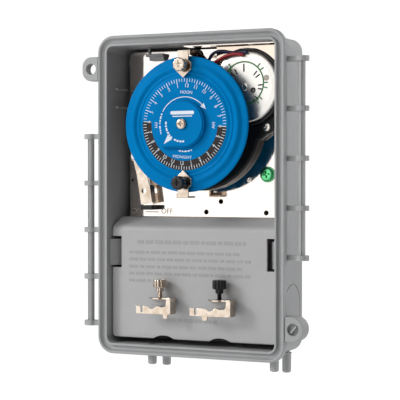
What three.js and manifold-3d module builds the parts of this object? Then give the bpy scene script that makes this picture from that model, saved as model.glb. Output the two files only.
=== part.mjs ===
// Mechanical 24-hour time switch in a wall-mounted plastic enclosure, lid removed.
// Millimetres, +X right, +Y back into the wall, +Z up.
// The origin is the centre of the enclosure's flat back, so the front rim lies at Y = -depth.
import * as THREE from 'three';
import { mergeVertices } from 'three/addons/utils/BufferGeometryUtils.js';
import Module from 'manifold-3d';

const wasm = await Module();
wasm.setup();

// ---------------------------------------------------------------- driving dimensions
const GAP = 0.3;                       // clearance between neighbouring pieces

const rim = { width: 144.5, height: 228, corner: 12, inset: 4, thick: 5.8, front: -46 };
const shell = {
  wall: 3.6, back: 3, corner: 9, legRadius: 3.2, stubRadius: 2.2,
  legX: [-32.8, 61.2], legY: [-36.6, -13.5], legBottom: [-121, -124.4],
};
const rail = { x: 81.9, y: -38.4, top: 93.3, pitch: 33.9, count: 5, rod: 2.4, lug: 4.9, lugThick: 3.6 };
const ear = {
  x: 78.1, z: 90.75, out: 85.4, half: 8.7, corner: 7, hole: 4, front: -45.4, thick: 7.5, bossThick: 12.4,
};
const plate = { front: -17, thick: 1.2, halfWidth: 61, top: 104, bottom: -99, flangeTop: 106, flangeFront: -36 };
const dial = {
  x: -2, z: 49.7, face: -48, radius: 47.6, printed: 32.6, bore: 8.4, ringBack: -44.7, hubBack: -44.2,
};
const pointer = { radius: 16.5, back: -48.4, front: -52.2 };
const housing = { radius: 46.7, front: -24, back: -17.3, wall: 2.6, seatRadius: 27.2, seatFront: -29.3 };
const motor = { x: 37.1, z: 75.6, radius: 25.1, flat: 20.5, face: -33, back: -24.6 };
const bracket = { front: -28.6, thick: 1, left: 14, right: 63.2, bottom: 88, top: 104.3, footWidth: 10 };
const gears = { module: 1, dialTeeth: 54, idlerTeeth: 24, pinionTeeth: 8, front: -22, back: -19 };
const lever = { x: -51.5, z: 28, front: -27, thick: 1.3, tipX: -42.4, tipZ: -6.5 };
const cover = { halfWidth: 64.2, bottom: -102.5, faceTop: -22.8, top: -16, front: -39, back: -23.5, wall: 2.2 };
const terminals = { halfWidth: 48, bottom: -93, top: -63, front: -31, back: -17.3, bays: 4 };
const clip = {
  tip: 32.2, shoulder: 38, neck: 43.5, outer: 51.5, halfBroad: 6.3, halfArm: 4.1, thick: 1.2,
  web: 1.2, flangeTop: -4.9, flangeHeight: 5.5, screw: 41, seat: -49.1,
};
const thumb = { radius: 4.9, shank: 1.6, flutes: 9 };

// ---------------------------------------------------------------- materials
function paint(color, roughness, metalness) {
  return new THREE.MeshStandardMaterial({ color, roughness, metalness });
}
const grey = () => paint(0x8f9193, 0.55, 0);
const lightGrey = () => paint(0xa6a7a9, 0.55, 0);
const nickel = () => paint(0xe8e0da, 0.12, 1);
const steel = () => paint(0xc9c2b8, 0.25, 1);
const brass = () => paint(0xc59a4a, 0.3, 1);
const copper = () => paint(0xa85c32, 0.35, 1);
const black = () => paint(0x17181b, 0.45, 0);
const blue = () => paint(0x0078c8, 0.4, 0);
const green = () => paint(0x1f9a4a, 0.3, 0.3);
const rubber = (color) => paint(color, 0.6, 0);

// ---------------------------------------------------------------- solids
// A closed geometry as a solid whose faces point out.
function solidOf(geometry) {
  let mesh = geometry.index ? geometry.toNonIndexed() : geometry.clone();
  for (const name of Object.keys(mesh.attributes)) {
    if (name !== 'position') mesh.deleteAttribute(name);
  }
  mesh = mergeVertices(mesh, 1e-4);
  const points = mesh.attributes.position.array;
  const corners = mesh.index.array;
  const triangles = [];
  let volume = 0;
  const a = new THREE.Vector3();
  const b = new THREE.Vector3();
  const c = new THREE.Vector3();
  for (let i = 0; i < corners.length; i += 3) {
    const [p, q, r] = [corners[i], corners[i + 1], corners[i + 2]];
    if (p === q || q === r || r === p) continue;
    triangles.push(p, q, r);
    a.fromArray(points, 3 * p);
    b.fromArray(points, 3 * q);
    c.fromArray(points, 3 * r);
    volume += a.dot(b.cross(c));
  }
  if (volume < 0) triangles.reverse();
  return new wasm.Manifold(new wasm.Mesh({
    numProp: 3,
    vertProperties: Float32Array.from(points),
    triVerts: Uint32Array.from(triangles),
  }));
}

function geometryOf(solid) {
  const mesh = solid.getMesh();
  const geometry = new THREE.BufferGeometry();
  geometry.setAttribute('position', new THREE.BufferAttribute(mesh.vertProperties, 3));
  geometry.setIndex(new THREE.BufferAttribute(mesh.triVerts, 1));
  geometry.computeVertexNormals();
  return geometry;
}

const join = (...solids) => solids.reduce((sum, one) => sum.add(one));
const cut = (solid, ...tools) => tools.reduce((rest, tool) => rest.subtract(tool), solid);

// A flat outline in X and Z, run along Y from front to back.
function prism(outline, front, back, curveSegments = 6) {
  const geometry = new THREE.ExtrudeGeometry(outline, {
    depth: back - front, bevelEnabled: false, steps: 1, curveSegments,
  });
  geometry.rotateX(Math.PI / 2);
  geometry.translate(0, back, 0);
  return solidOf(geometry);
}

// A flat outline in X and Y, run up along Z.
function column(outline, low, high, curveSegments = 8) {
  const geometry = new THREE.ExtrudeGeometry(outline, {
    depth: high - low, bevelEnabled: false, steps: 1, curveSegments,
  });
  geometry.translate(0, 0, low);
  return solidOf(geometry);
}

function block(x0, x1, y0, y1, z0, z1) {
  const geometry = new THREE.BoxGeometry(x1 - x0, y1 - y0, z1 - z0);
  geometry.translate((x0 + x1) / 2, (y0 + y1) / 2, (z0 + z1) / 2);
  return solidOf(geometry);
}

// A cylinder along Y.
function drum(x, z, radius, front, back, segments = 32, frontRadius = radius) {
  const geometry = new THREE.CylinderGeometry(radius, frontRadius, back - front, segments);
  geometry.translate(x, (front + back) / 2, z);
  return solidOf(geometry);
}

// A cylinder along Z.
function post(x, y, radius, low, high, segments = 14, lowRadius = radius) {
  const geometry = new THREE.CylinderGeometry(radius, lowRadius, high - low, segments);
  geometry.rotateX(Math.PI / 2);
  geometry.translate(x, y, (low + high) / 2);
  return solidOf(geometry);
}

// A profile of [radius, Y] pairs turned about a line along Y.
function turned(x, z, profile, segments = 48) {
  const geometry = new THREE.LatheGeometry(profile.map(([r, y]) => new THREE.Vector2(r, y)), segments);
  geometry.translate(x, 0, z);
  return solidOf(geometry);
}

// ---------------------------------------------------------------- outlines
function roundedRect(left, right, low, high, radius) {
  const shape = new THREE.Shape();
  shape.moveTo(left + radius, low);
  shape.absarc(right - radius, low + radius, radius, -Math.PI / 2, 0);
  shape.absarc(right - radius, high - radius, radius, 0, Math.PI / 2);
  shape.absarc(left + radius, high - radius, radius, Math.PI / 2, Math.PI);
  shape.absarc(left + radius, low + radius, radius, Math.PI, 1.5 * Math.PI);
  return shape;
}

function centredRect(width, height, radius) {
  return roundedRect(-width / 2, width / 2, -height / 2, height / 2, radius);
}

function polygon(points) {
  return new THREE.Shape(points.map(([x, y]) => new THREE.Vector2(x, y)));
}

// The rim outline moved inwards by an offset.
function rimOutline(offset) {
  return centredRect(rim.width - 2 * offset, rim.height - 2 * offset, rim.corner - offset);
}

// ---------------------------------------------------------------- enclosure
const wallX = rim.width / 2 - rim.inset;
const wallZ = rim.height / 2 - rim.inset;
const innerX = wallX - shell.wall;
const innerZ = wallZ - shell.wall;

// Catches on the side walls that hold the dead-front cover.
function coverCatch(side) {
  const outline = polygon([[0.4, -41], [-0.8, -41], [-6.2, -34.5], [-6.2, -31], [0.4, -31]]
    .map(([inward, y]) => [side * (innerX + inward), y]));
  return column(outline, -50.6, -31.8);
}

function enclosureBody() {
  const flange = prism(rimOutline(0), rim.front, rim.front + rim.thick);
  const walls = prism(centredRect(2 * wallX, 2 * wallZ, shell.corner), rim.front + 1, 0);
  const cavity = prism(centredRect(2 * innerX, 2 * innerZ, 5), rim.front - 1, -shell.back);
  const face = cut(prism(rimOutline(2.2), rim.front - 1, rim.front + 0.7),
    prism(rimOutline(6.2), rim.front - 2, rim.front + 2));
  const groove = cut(prism(rimOutline(2.2), rim.front - 1, rim.front + 2.2),
    prism(rimOutline(3.9), rim.front - 2, rim.front + 4));
  let body = cut(join(flange, walls), cavity, face, groove);

  const bossFront = plate.front + plate.thick + GAP;
  for (const x of [-58, 58]) {
    for (const z of [-86, 96]) body = body.add(drum(x, z, 4.5, bossFront, -shell.back + 0.5, 20));
    body = body.subtract(drum(x, -86, 1.5, bossFront - 1, -5, 12));
  }
  for (const z of [63.5, 76.5]) {
    body = body.add(block(-innerX - 0.5, -innerX + 2.1, -33, plate.front - GAP, z - 0.8, z + 0.8));
  }
  // The latch over the plate's top edge: a neck from the top wall and two stepped bars.
  const latchNeck = block(-42, -34, -20, plate.front - GAP, 102, innerZ + 0.5);
  const latchBar = block(-45.5, -26.5, -22.4, plate.front - GAP, 99.4, 102.4);
  const latchStep = block(-40.2, -26.5, -21.2, plate.front - GAP, 97.4, 99.5);
  body = join(body, latchNeck, latchBar, latchStep, coverCatch(-1), coverCatch(1));

  for (const x of shell.legX) {
    for (const y of shell.legY) {
      body = body.subtract(post(x, y, shell.stubRadius + GAP, -wallZ - 1, -innerZ + 1, 16));
    }
  }
  return body;
}

function caseLeg(index) {
  const x = shell.legX[index % 2];
  const row = Math.floor(index / 2);
  const y = shell.legY[row];
  const bottom = shell.legBottom[row];
  const tip = post(x, y, shell.legRadius, bottom, bottom + 1.2, 14, shell.legRadius - 1.1);
  const shaft = post(x, y, shell.legRadius, bottom + 1.1, -wallZ - GAP);
  return join(tip, shaft, post(x, y, shell.stubRadius, -wallZ - 1, -innerZ, 14));
}

// A rod carried by a row of lugs, on which the lid's clips snap.
function hingeRail(side) {
  const x = side * rail.x;
  const zs = Array.from({ length: rail.count }, (_, i) => side * (rail.top - rail.pitch * i));
  const low = Math.min(...zs) - rail.lugThick / 2 + 0.4;
  const high = Math.max(...zs) + rail.lugThick / 2 - 0.4;
  let body = post(x, rail.y, rail.rod, low, high);
  for (const z of zs) {
    const web = block(Math.min(side * (wallX + GAP), x), Math.max(side * (wallX + GAP), x),
      rail.y - 1.5, rail.y + 4.2, z - rail.lugThick / 2, z + rail.lugThick / 2);
    const eye = post(x, rail.y, rail.lug, z - rail.lugThick / 2, z + rail.lugThick / 2);
    body = join(body, web, eye);
  }
  return body;
}

// The room taken by the rim's flange and by the side wall behind it, on one side.
function caseRoom(side) {
  const span = (x, front, back) => block(Math.min(0, side * x), Math.max(0, side * x), front, back, -200, 200);
  const flange = span(rim.width / 2 + GAP, -60, rim.front + rim.thick + GAP);
  return flange.add(span(wallX + GAP, -60, 0));
}

function padlockEar() {
  const outline = roundedRect(-ear.out, -wallX + 6, ear.z - ear.half, ear.z + ear.half, ear.corner);
  const tab = prism(outline, ear.front, ear.front + ear.thick);
  return cut(tab, caseRoom(-1), drum(-ear.x, ear.z, ear.hole, -60, 0, 24));
}

function lidBoss() {
  const outline = roundedRect(wallX - 6, ear.out, -ear.z - ear.half, -ear.z + ear.half, ear.half - 0.2);
  const tab = prism(outline, ear.front, ear.front + ear.bossThick);
  return cut(tab, caseRoom(1), drum(ear.x, -ear.z, ear.hole, -60, ear.front + 4.4, 24));
}

// ---------------------------------------------------------------- mounting plate
const leadHole = { x: -6.2, z: 100.2, radius: 3.2, collar: 4.4 };
const lowerHole = { x: -24, z: -61, radius: 4 };
const groundPoint = { x: 48.2, z: 14.6 };

function mountingPlate() {
  const back = plate.front + plate.thick;
  const sheet = prism(roundedRect(-plate.halfWidth, plate.halfWidth, plate.bottom, plate.top, 4),
    plate.front, back, 4);
  const rise = block(-14, 60, plate.front, back, plate.top - 1, plate.flangeTop);
  const flange = block(-14, 60, plate.flangeFront, back, plate.flangeTop - 1, plate.flangeTop);
  let body = join(sheet, rise, flange);
  const holes = [[12.2, -4.7, 1.8], [0.7, -12.3, 1.8], [47.1, -12.5, 1.8], [-58.9, 10.7, 1.1],
    [-58, -86, 1.9], [58, -86, 1.9], [groundPoint.x, groundPoint.z, 2.2],
    [leadHole.x, leadHole.z, leadHole.radius + GAP], [lowerHole.x, lowerHole.z, lowerHole.radius]];
  for (const [x, z, r] of holes) body = body.subtract(drum(x, z, r, -30, 0, 12));
  return body;
}

// A round-head screw along Y; the head's front carries a cross recess.
function screw(x, z, headRadius, seat, headHeight, shankRadius, shankEnd, recess = 0.9) {
  const front = seat - headHeight;
  const head = drum(x, z, headRadius, front, seat, 14, headRadius * 0.8);
  const shank = drum(x, z, shankRadius, seat - 0.2, shankEnd, 8);
  const arm = headRadius * 0.55;
  const width = headRadius * 0.14;
  const cross = join(block(x - arm, x + arm, front - 1, front + recess, z - width, z + width),
    block(x - width, x + width, front - 1, front + recess, z - arm, z + arm));
  return cut(join(head, shank), cross);
}

// ---------------------------------------------------------------- gear housing and drive train
// The idler's centre meshes with both the dial gear and the motor pinion.
const pitch = {
  dial: gears.module * gears.dialTeeth / 2,
  idler: gears.module * gears.idlerTeeth / 2,
  pinion: gears.module * gears.pinionTeeth / 2,
};

function idlerCentre() {
  const toMotor = new THREE.Vector2(motor.x - dial.x, motor.z - dial.z);
  const span = toMotor.length();
  const a = pitch.dial + pitch.idler;
  const b = pitch.pinion + pitch.idler;
  const along = (a * a - b * b + span * span) / (2 * span);
  const aside = Math.sqrt(a * a - along * along);
  const u = toMotor.normalize();
  return { x: dial.x + u.x * along + u.y * aside, z: dial.z + u.y * along - u.x * aside };
}
const idler = idlerCentre();

// A toothed disc; its tip circle stays just inside the pitch circle, so meshed pairs keep a gap.
function gearDisc(x, z, pitchRadius, teeth, front, back) {
  const tip = pitchRadius - GAP;
  const root = tip - 1.5 * gears.module;
  const points = [];
  for (let i = 0; i < teeth; i += 1) {
    const start = 2 * Math.PI * i / teeth;
    const step = 2 * Math.PI / teeth;
    for (const [share, radius] of [[0, root], [0.3, tip], [0.7, tip]]) {
      const angle = start + share * step;
      points.push([x + radius * Math.cos(angle), z + radius * Math.sin(angle)]);
    }
  }
  return prism(polygon(points), front, back);
}

function gearHousing() {
  const { radius, front, back, wall, seatRadius, seatFront } = housing;
  const bowl = drum(dial.x, dial.z, radius, front, back, 48);
  const seat = drum(motor.x, motor.z, seatRadius, seatFront, back, 40);
  const cheek = prism(polygon([[30, 41.5], [44.8, 38.3], [64, 52.4], [64, 66], [40, 66]]), front, back);
  const chamber = join(drum(dial.x, dial.z, radius - wall, front + 1, 0, 40),
    drum(motor.x, motor.z, motor.radius, front + 1, 0, 32));
  const cheekRoom = prism(polygon([[38, 46], [46.5, 42.5], [61, 52.5], [61, 62], [46, 62]]), front + 1, 0);
  let body = cut(join(bowl, seat, cheek), chamber, cheekRoom,
    drum(motor.x, motor.z, motor.radius + GAP, -60, motor.back + GAP, 40),
    drum(motor.x, motor.z, 2.4, -60, 0, 16),
    drum(dial.x, dial.z, 8.6, -60, 0, 24));
  for (const [x, z] of housingScrews) body = body.subtract(drum(x, z, 1.7, -60, front + 5, 12));
  // Notch through which the motor leads reach the plate's upper hole.
  return body.subtract(block(-11, 2, -60, 0, leadHole.z - leadHole.collar - GAP, 110));
}
const housingScrews = [[51.1, 47.6], [-9.6, 87.6], [-31.6, 24.8]];

function dialGear() {
  const disc = gearDisc(dial.x, dial.z, pitch.dial, gears.dialTeeth, gears.front, gears.back);
  const sleeve = drum(dial.x, dial.z, 8, -47.6, gears.front + 1, 24);
  return cut(join(disc, sleeve), drum(dial.x, dial.z, 3.4, -60, 0, 20));
}

function reductionGear() {
  const disc = gearDisc(idler.x, idler.z, pitch.idler, gears.idlerTeeth, gears.front, gears.back);
  return disc.subtract(drum(idler.x, idler.z, 1.9, -60, 0, 16));
}

function motorRotor() {
  const pinion = gearDisc(motor.x, motor.z, pitch.pinion, gears.pinionTeeth, gears.front, gears.back);
  return join(pinion, drum(motor.x, motor.z, 1.9, -28, gears.front + 0.5, 16),
    drum(motor.x, motor.z, 11, -31, -26.5, 32));
}

function motorCan() {
  const { x, z, radius, flat, face, back } = motor;
  let can = turned(x, z, [[0, face], [flat, face], [radius - 1, face + 1.4], [radius, face + 2.8],
    [radius, back], [radius - 1, back], [radius - 1, face + 3.2], [flat - 0.3, face + 1.2],
    [0, face + 1]], 32);
  // Radial vent slots in pairs around the face.
  for (const angle of [20, 35, 88, 140, 156, 200, 216, 300, 316, 350, 6]) {
    const slot = block(11.5, 17, face - 1, face + 2, -0.5, 0.5);
    can = can.subtract(slot.rotate([0, -angle, 0]).translate([x, 0, z]));
  }
  return can.subtract(drum(x + 7.1, z - 2.9, 1.1, face - 1, face + 2, 12));
}

// The bright sheet beside the motor's seat, with two feet that stand on the mounting plate.
function motorBracket() {
  const { front, thick, left, right, bottom, top, footWidth } = bracket;
  const face = prism(roundedRect(left, right, bottom, top, 2), front, front + thick, 4);
  const opening = drum(motor.x, motor.z, housing.seatRadius + GAP, front - 1, front + thick + 1, 40);
  const foot = (x) => block(x, x + footWidth, front, plate.front - GAP, top - thick, top);
  return join(cut(face, opening), foot(left), foot(right - footWidth));
}

function motorCoil() {
  const { x, z } = motor;
  return turned(x, z, [[12.5, -30.4], [21.6, -30.4], [21.6, -25.2], [12.5, -25.2], [12.5, -30.4]], 32);
}

function dialPost() {
  const pin = drum(dial.x, dial.z, 3, -48.1, plate.front - GAP, 20);
  const foot = drum(dial.x, dial.z, 6.5, -18.6, plate.front - GAP, 24);
  return cut(join(pin, foot), drum(dial.x, dial.z, 1.8, -60, -42.5, 16));
}

function idlerPin() {
  return drum(idler.x, idler.z, 1.5, -22.5, plate.front - GAP, 16);
}

// ---------------------------------------------------------------- dial, pointer and hub
function dialDisc() {
  const f = dial.face;
  return turned(dial.x, dial.z, [
    [dial.bore, dial.hubBack], [dial.bore, f], [dial.printed, f], [34.8, f + 0.9], [35.6, f + 0.5],
    [36.4, f + 0.5], [37.2, f + 1], [39.6, f - 0.5], [40.8, f - 0.5], [43.4, f + 1.6], [46.4, f + 1.9],
    [47.3, f + 2.2], [dial.radius, f + 2.7], [dial.radius, dial.ringBack], [44, dial.ringBack],
    [38, dial.ringBack - 0.5], [dial.bore + 8, dial.hubBack], [dial.bore, dial.hubBack],
  ], 48);
}

// A disc with one square corner at the lower left, which is the time pointer.
function pointerHub() {
  const { radius, back, front } = pointer;
  const outline = (r) => {
    const shape = new THREE.Shape();
    shape.moveTo(dial.x - r, dial.z - r);
    shape.lineTo(dial.x, dial.z - r);
    shape.absarc(dial.x, dial.z, r, -Math.PI / 2, Math.PI);
    shape.lineTo(dial.x - r, dial.z - r);
    return shape;
  };
  const base = prism(outline(radius), front + 1, back, 14);
  const raised = prism(outline(radius - 0.9), front, front + 1.2, 14);
  return cut(join(base, raised), drum(dial.x, dial.z, 1.9, -60, 0, 16));
}

// ---------------------------------------------------------------- trippers
// Built in the tripper's own frame: X outwards along the dial's radius, Z out of the dial's face,
// Y around the dial. Z = 0 is the underside of the pointed leg.
function clipSolid(kind) {
  const on = kind === 'on';
  const { tip, shoulder, neck, outer, halfBroad, halfArm, thick, web, flangeTop, flangeHeight } = clip;
  const leg = column(polygon([[tip, 0], [shoulder, -halfBroad], [neck, -halfBroad], [neck, -halfArm],
    [outer, -halfArm], [outer, halfArm], [neck, halfArm], [neck, halfBroad], [shoulder, halfBroad]]), 0, thick);
  const low = flangeTop - flangeHeight;
  const strap = block(outer - web, outer, -halfArm, halfArm, low, thick);
  const inner = on ? 24.5 : 20.5;
  const flange = block(inner, outer, -halfArm - 1.2, -halfArm + 0.4, low, flangeTop);
  const foot = on ? [45.6, 49.4] : [29.9, 34.1];
  const tab = block(foot[0], foot[1], -halfArm - 1.2, -halfArm, low - 2.9, low + 0.5);
  const corner = block(outer - 3.4, outer, -halfArm - 1.2, -halfArm + 0.4, flangeTop - 0.5, thick - 0.2);
  const slit = block(inner + 3.7, inner + 5.2, -halfArm - 3, -halfArm + 2, low + 0.9, flangeTop + 1);
  const dip = column(polygon([[-2.2, 0.4], [0, -2.2], [2.2, 0.4]]), -3, 3).rotate([90, 0, 0])
    .translate([on ? 37 : 36, -halfArm, flangeTop]);
  const hole = post(clip.screw, 0, thumb.shank + GAP, -2, thick + 2, 10);
  return cut(join(leg, strap, flange, tab, corner), slit, dip, hole);
}

// Thumb screw along the tripper's own Z, its head resting `lift` above the leg.
function thumbScrew(lift, length) {
  const base = clip.thick + lift;
  const points = [];
  for (let i = 0; i < thumb.flutes; i += 1) {
    const start = 2 * Math.PI * i / thumb.flutes;
    for (const [share, radius] of [[0, 0.84], [0.3, 1], [0.7, 1]]) {
      const angle = start + share * 2 * Math.PI / thumb.flutes;
      points.push([clip.screw + radius * thumb.radius * Math.cos(angle),
        radius * thumb.radius * Math.sin(angle)]);
    }
  }
  const neckHeight = 0.3 * length;
  const head = column(polygon(points), base + neckHeight, base + length);
  const neck = post(clip.screw, 0, 2.9, base, base + neckHeight + 0.3, 12);
  const shank = post(clip.screw, 0, thumb.shank, -0.2, base + 0.3, 8);
  const cross = join(block(clip.screw - 2.6, clip.screw + 2.6, -0.6, 0.6, base + length - 1, base + length + 1),
    block(clip.screw - 0.6, clip.screw + 0.6, -2.6, 2.6, base + length - 1, base + length + 1));
  return cut(join(head, neck, shank), cross);
}

// Tripper frames: on the dial at a clock angle, or stored upright on the cover.
function onDial(angleDegrees) {
  const angle = THREE.MathUtils.degToRad(angleDegrees);
  const radial = new THREE.Vector3(Math.cos(angle), 0, Math.sin(angle));
  const out = new THREE.Vector3(0, -1, 0);
  const around = new THREE.Vector3().crossVectors(out, radial);
  const matrix = new THREE.Matrix4().makeBasis(radial, around, out);
  return matrix.setPosition(dial.x, clip.seat, dial.z);
}

const spare = { y: -46, seat: -73.3, onX: -62.9, offX: -17 };
function onCover(x) {
  return new THREE.Matrix4().makeTranslation(x, spare.y, spare.seat);
}

// ---------------------------------------------------------------- switch parts
function tripLever() {
  const { x, z, front, thick, tipX, tipZ } = lever;
  const back = front + thick;
  const arm = prism(polygon([[x - 3.2, z + 2.5], [x + 2.6, z + 2.5], [-41.4, 12], [tipX + 4.4, -5.4],
    [tipX - 4.4, -7.2], [-50.4, 14.5]]), front, back);
  const boss = drum(x, z, 4, front, back, 24);
  const flange = prism(polygon([[-41.2, 7], [-39.9, 7], [tipX + 4.4, -5.4], [tipX + 3.1, -5.4]]),
    front, -20, 2);
  const hole = drum(-44.6, 2.8, 1.9, front - 1, back + 1, 16);
  return cut(join(arm, boss, flange), hole, drum(x, z, 1.9, front - 1, back + 1, 16));
}

function leverShoe() {
  const { tipX, tipZ, front } = lever;
  return block(tipX - 4.6, tipX + 4.6, front - 0.4, plate.front - GAP, tipZ - 4.4, tipZ - 1.1);
}

function leverPin() {
  const { x, z, front } = lever;
  const pin = drum(x, z, 1.6, front - 2.2, plate.front - GAP, 16);
  const head = drum(x, z, 2.8, front - 2.2, front - GAP, 20);
  const foot = drum(x, z, 2.8, -18.3, plate.front - GAP, 20);
  return join(pin, head, foot);
}

// The closed coil of the snap spring around the lever's pin.
function leverSpring() {
  const { x, z } = lever;
  return turned(x, z, [[2, -25.2], [3.6, -25.2], [3.6, -18.8], [2, -18.8], [2, -25.2]], 20);
}

const rocker = { x: -42.4, z: -36, pin: 2, front: -23, back: -20.6 };
function switchRocker() {
  const { x, z, front, back } = rocker;
  const arm = prism(roundedRect(x - 3.5, x + 3.5, z - 4, -17.5, 3), front, back, 4);
  const tongue = block(x - 1, x + 1, front + 0.8, back, -18.5, -11.4);
  const finger = block(x, x + 22, front, back, z - 3, z + 1.5);
  return cut(join(arm, tongue, finger), drum(x, z, rocker.pin + GAP, -60, 0, 16));
}

// The moving contact, a strip lying on the rocker's finger.
function rockerBlade() {
  const { x, z, front, back } = rocker;
  const strip = block(x + 3.8, x + 23.4, front, back, z + 1.8, z + 2.8);
  return strip.add(block(x + 18.9, x + 21.9, front, back, z + 2.7, z + 3.8));
}

function switchBase() {
  const base = block(-58, -14, rocker.back + GAP, plate.front - GAP, -56, -18);
  return base.add(drum(rocker.x, rocker.z, rocker.pin, rocker.front - 1.5, rocker.back + 1, 16));
}

function fixedContact() {
  const x = rocker.x + 20.4;
  const button = block(x - 1.5, x + 1.5, rocker.front, rocker.back, rocker.z + 4.1, rocker.z + 5.3);
  return button.add(block(x - 3, x + 3, rocker.front, rocker.back, rocker.z + 5.2, rocker.z + 14));
}

const bayPitch = 2 * (terminals.halfWidth - 2) / terminals.bays;
const leadRadius = 1;
const leadEntryY = -25.7;
const bayX = (i) => -terminals.halfWidth + 2 + bayPitch * (i + 0.5);

function terminalBlock() {
  const { halfWidth, bottom, top, front, back, bays } = terminals;
  let body = block(-halfWidth, halfWidth, front, back, bottom, top);
  for (let i = 0; i < bays; i += 1) {
    const half = bayPitch / 2 - 1.2;
    body = body.subtract(block(bayX(i) - half, bayX(i) + half, front - 1, back - 5, bottom - 1, top - 6));
    body = body.subtract(drum(bayX(i), -79, 2.2, -60, back - 1.5, 12));
    body = body.subtract(post(bayX(i), leadEntryY, 1.6, top - 8, top + 1, 12));
  }
  return body;
}

function terminalTab(i) {
  const seat = terminals.back - 5 - GAP;
  const tab = block(bayX(i) - 6, bayX(i) + 6, seat - 1.5, seat, -87, -71);
  return tab.subtract(drum(bayX(i), -79, 2.2, -60, 0, 12));
}

function coverShell() {
  const { halfWidth, bottom, faceTop, top, front, back, wall } = cover;
  const profile = (grow) => {
    const shape = new THREE.Shape();
    shape.moveTo(front + grow, bottom - (grow ? 5 : 0));
    shape.lineTo(front + grow, faceTop - 2.5);
    shape.quadraticCurveTo(front + grow, faceTop - grow, front + 2.4 + grow, faceTop + 1.4 - grow);
    shape.lineTo(-25, top - 1.6 * grow);
    shape.lineTo(back + 3 * grow, top - 1.3 * grow);
    shape.lineTo(back + 3 * grow, bottom - (grow ? 5 : 0));
    return shape;
  };
  // The side profile is drawn as (Y, Z) and run along X.
  const run = (shape, half) => {
    const geometry = new THREE.ExtrudeGeometry(shape, { depth: 2 * half, bevelEnabled: false, curveSegments: 6 });
    const turn = new THREE.Matrix4().makeBasis(new THREE.Vector3(0, 1, 0), new THREE.Vector3(0, 0, 1),
      new THREE.Vector3(1, 0, 0));
    geometry.applyMatrix4(turn);
    geometry.translate(-half, 0, 0);
    return solidOf(geometry);
  };
  let body = cut(run(profile(0), halfWidth), run(profile(wall), halfWidth - wall));
  for (const side of [-1, 1]) {
    const edge = side * (halfWidth + 2);
    const step = side * 57.6;
    body = body.subtract(block(Math.min(edge, step), Math.max(edge, step), -50, 0, -51.6, -30.6));
  }
  for (const x of [-22.8, 21.1]) body = body.subtract(drum(x, bottom - 12.4, 15, -50, -30, 48));
  for (const x of [spare.onX, spare.offX]) {
    const seat = spare.seat;
    body = body.add(block(x + 34, x + 49.6, -45.4, front + 1, seat + clip.flangeTop + GAP, seat - 0.5));
  }
  return body;
}

// ---------------------------------------------------------------- leads
function lead(points) {
  const curve = new THREE.CatmullRomCurve3(points.map(([x, y, z]) => new THREE.Vector3(x, y, z)),
    false, 'centripetal');
  const section = new THREE.Shape();
  section.absarc(0, 0, leadRadius, 0, 2 * Math.PI);
  const geometry = new THREE.ExtrudeGeometry(section, {
    steps: 38, curveSegments: 4, bevelEnabled: false, extrudePath: curve,
  });
  return solidOf(geometry);
}

// From the motor, over the housing, through the plate's upper hole, down behind the plate
// and out of its lower hole to the terminal block.
const leads = {
  red: [[37.5, -34.4, 97], [33, -34.6, 97.4], [27, -34.5, 97.5], [22, -33.8, 97.2], [17, -32.6, 95.6],
    [11, -32.4, 95.2], [5, -32.4, 97], [-0.6, -32.3, 99.2], [-4.2, -30, 100.2], [-5.05, -25, 100.2],
    [-5.05, -16, 100.2], [-5.05, -12, 98.6], [-5.4, -9, 93], [-9, -9, 40], [-12, -9, -20], [-19, -9, -52],
    [-22.7, -12, -60.4], [-22.7, -18, -61], [-17, -23.5, -59.4], [-12.2, -25.6, -59.6], [-11.5, -25.7, -62],
    [-11.5, -25.7, -73.6]],
  blue: [[39.8, -34.4, 99.4], [34, -34.6, 101.4], [28, -33.4, 102.2], [20, -31.6, 102], [11, -30, 101.6],
    [4, -28.6, 102.4], [-2.4, -27, 103], [-6.6, -23.5, 102.6], [-7.35, -20.5, 101], [-7.35, -17.5, 100.2],
    [-7.35, -14.8, 100.1], [-8, -10, 97], [-8.4, -8, 92], [-12, -8, 40], [-15, -8, -20], [-22, -8, -50],
    [-25.4, -12, -60.2], [-25.4, -18, -61], [-29, -23.4, -59.8], [-33.6, -25.6, -59.6], [-34.5, -25.7, -62],
    [-34.5, -25.7, -73.6]],
};

// ---------------------------------------------------------------- assembly
const timer = new THREE.Group();
timer.name = 'mechanical_time_switch';

function place(name, solid, material, matrix = null) {
  const geometry = geometryOf(solid);
  const mesh = new THREE.Mesh(geometry, material);
  mesh.name = name;
  if (matrix) matrix.decompose(mesh.position, mesh.quaternion, mesh.scale);
  timer.add(mesh);
}

place('enclosure_body', enclosureBody(), grey());
['front_left', 'front_right', 'rear_left', 'rear_right'].forEach((name, i) => {
  place(`case_leg_${name}`, caseLeg(i), grey());
});
place('hinge_rail_left', hingeRail(-1), grey());
place('hinge_rail_right', hingeRail(1), grey());
place('padlock_ear', padlockEar(), grey());
place('lid_boss', lidBoss(), grey());

place('mounting_plate', mountingPlate(), nickel());
[-58, 58].forEach((x, i) => {
  place(`plate_screw_${i ? 'right' : 'left'}`, screw(x, -86, 3.4, plate.front - GAP, 2, 1.2, -6), steel());
});
place('ground_screw', screw(groundPoint.x, groundPoint.z, 5.6, plate.front - GAP, 3, 1.9, -12, 1.2), green());
place('plate_rivet', turned(34.2, 11.2, [[0, plate.front - 1], [1.6, plate.front - 1],
  [2.2, plate.front - GAP], [0, plate.front - GAP]], 20), steel());
place('lead_grommet', turned(leadHole.x, leadHole.z, [[2.5, -18.6], [leadHole.collar, -18.6], [leadHole.collar, plate.front - GAP],
  [leadHole.radius, plate.front - GAP], [leadHole.radius, -15.2], [2.5, -15.2], [2.5, -18.6]], 24), black());

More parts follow.
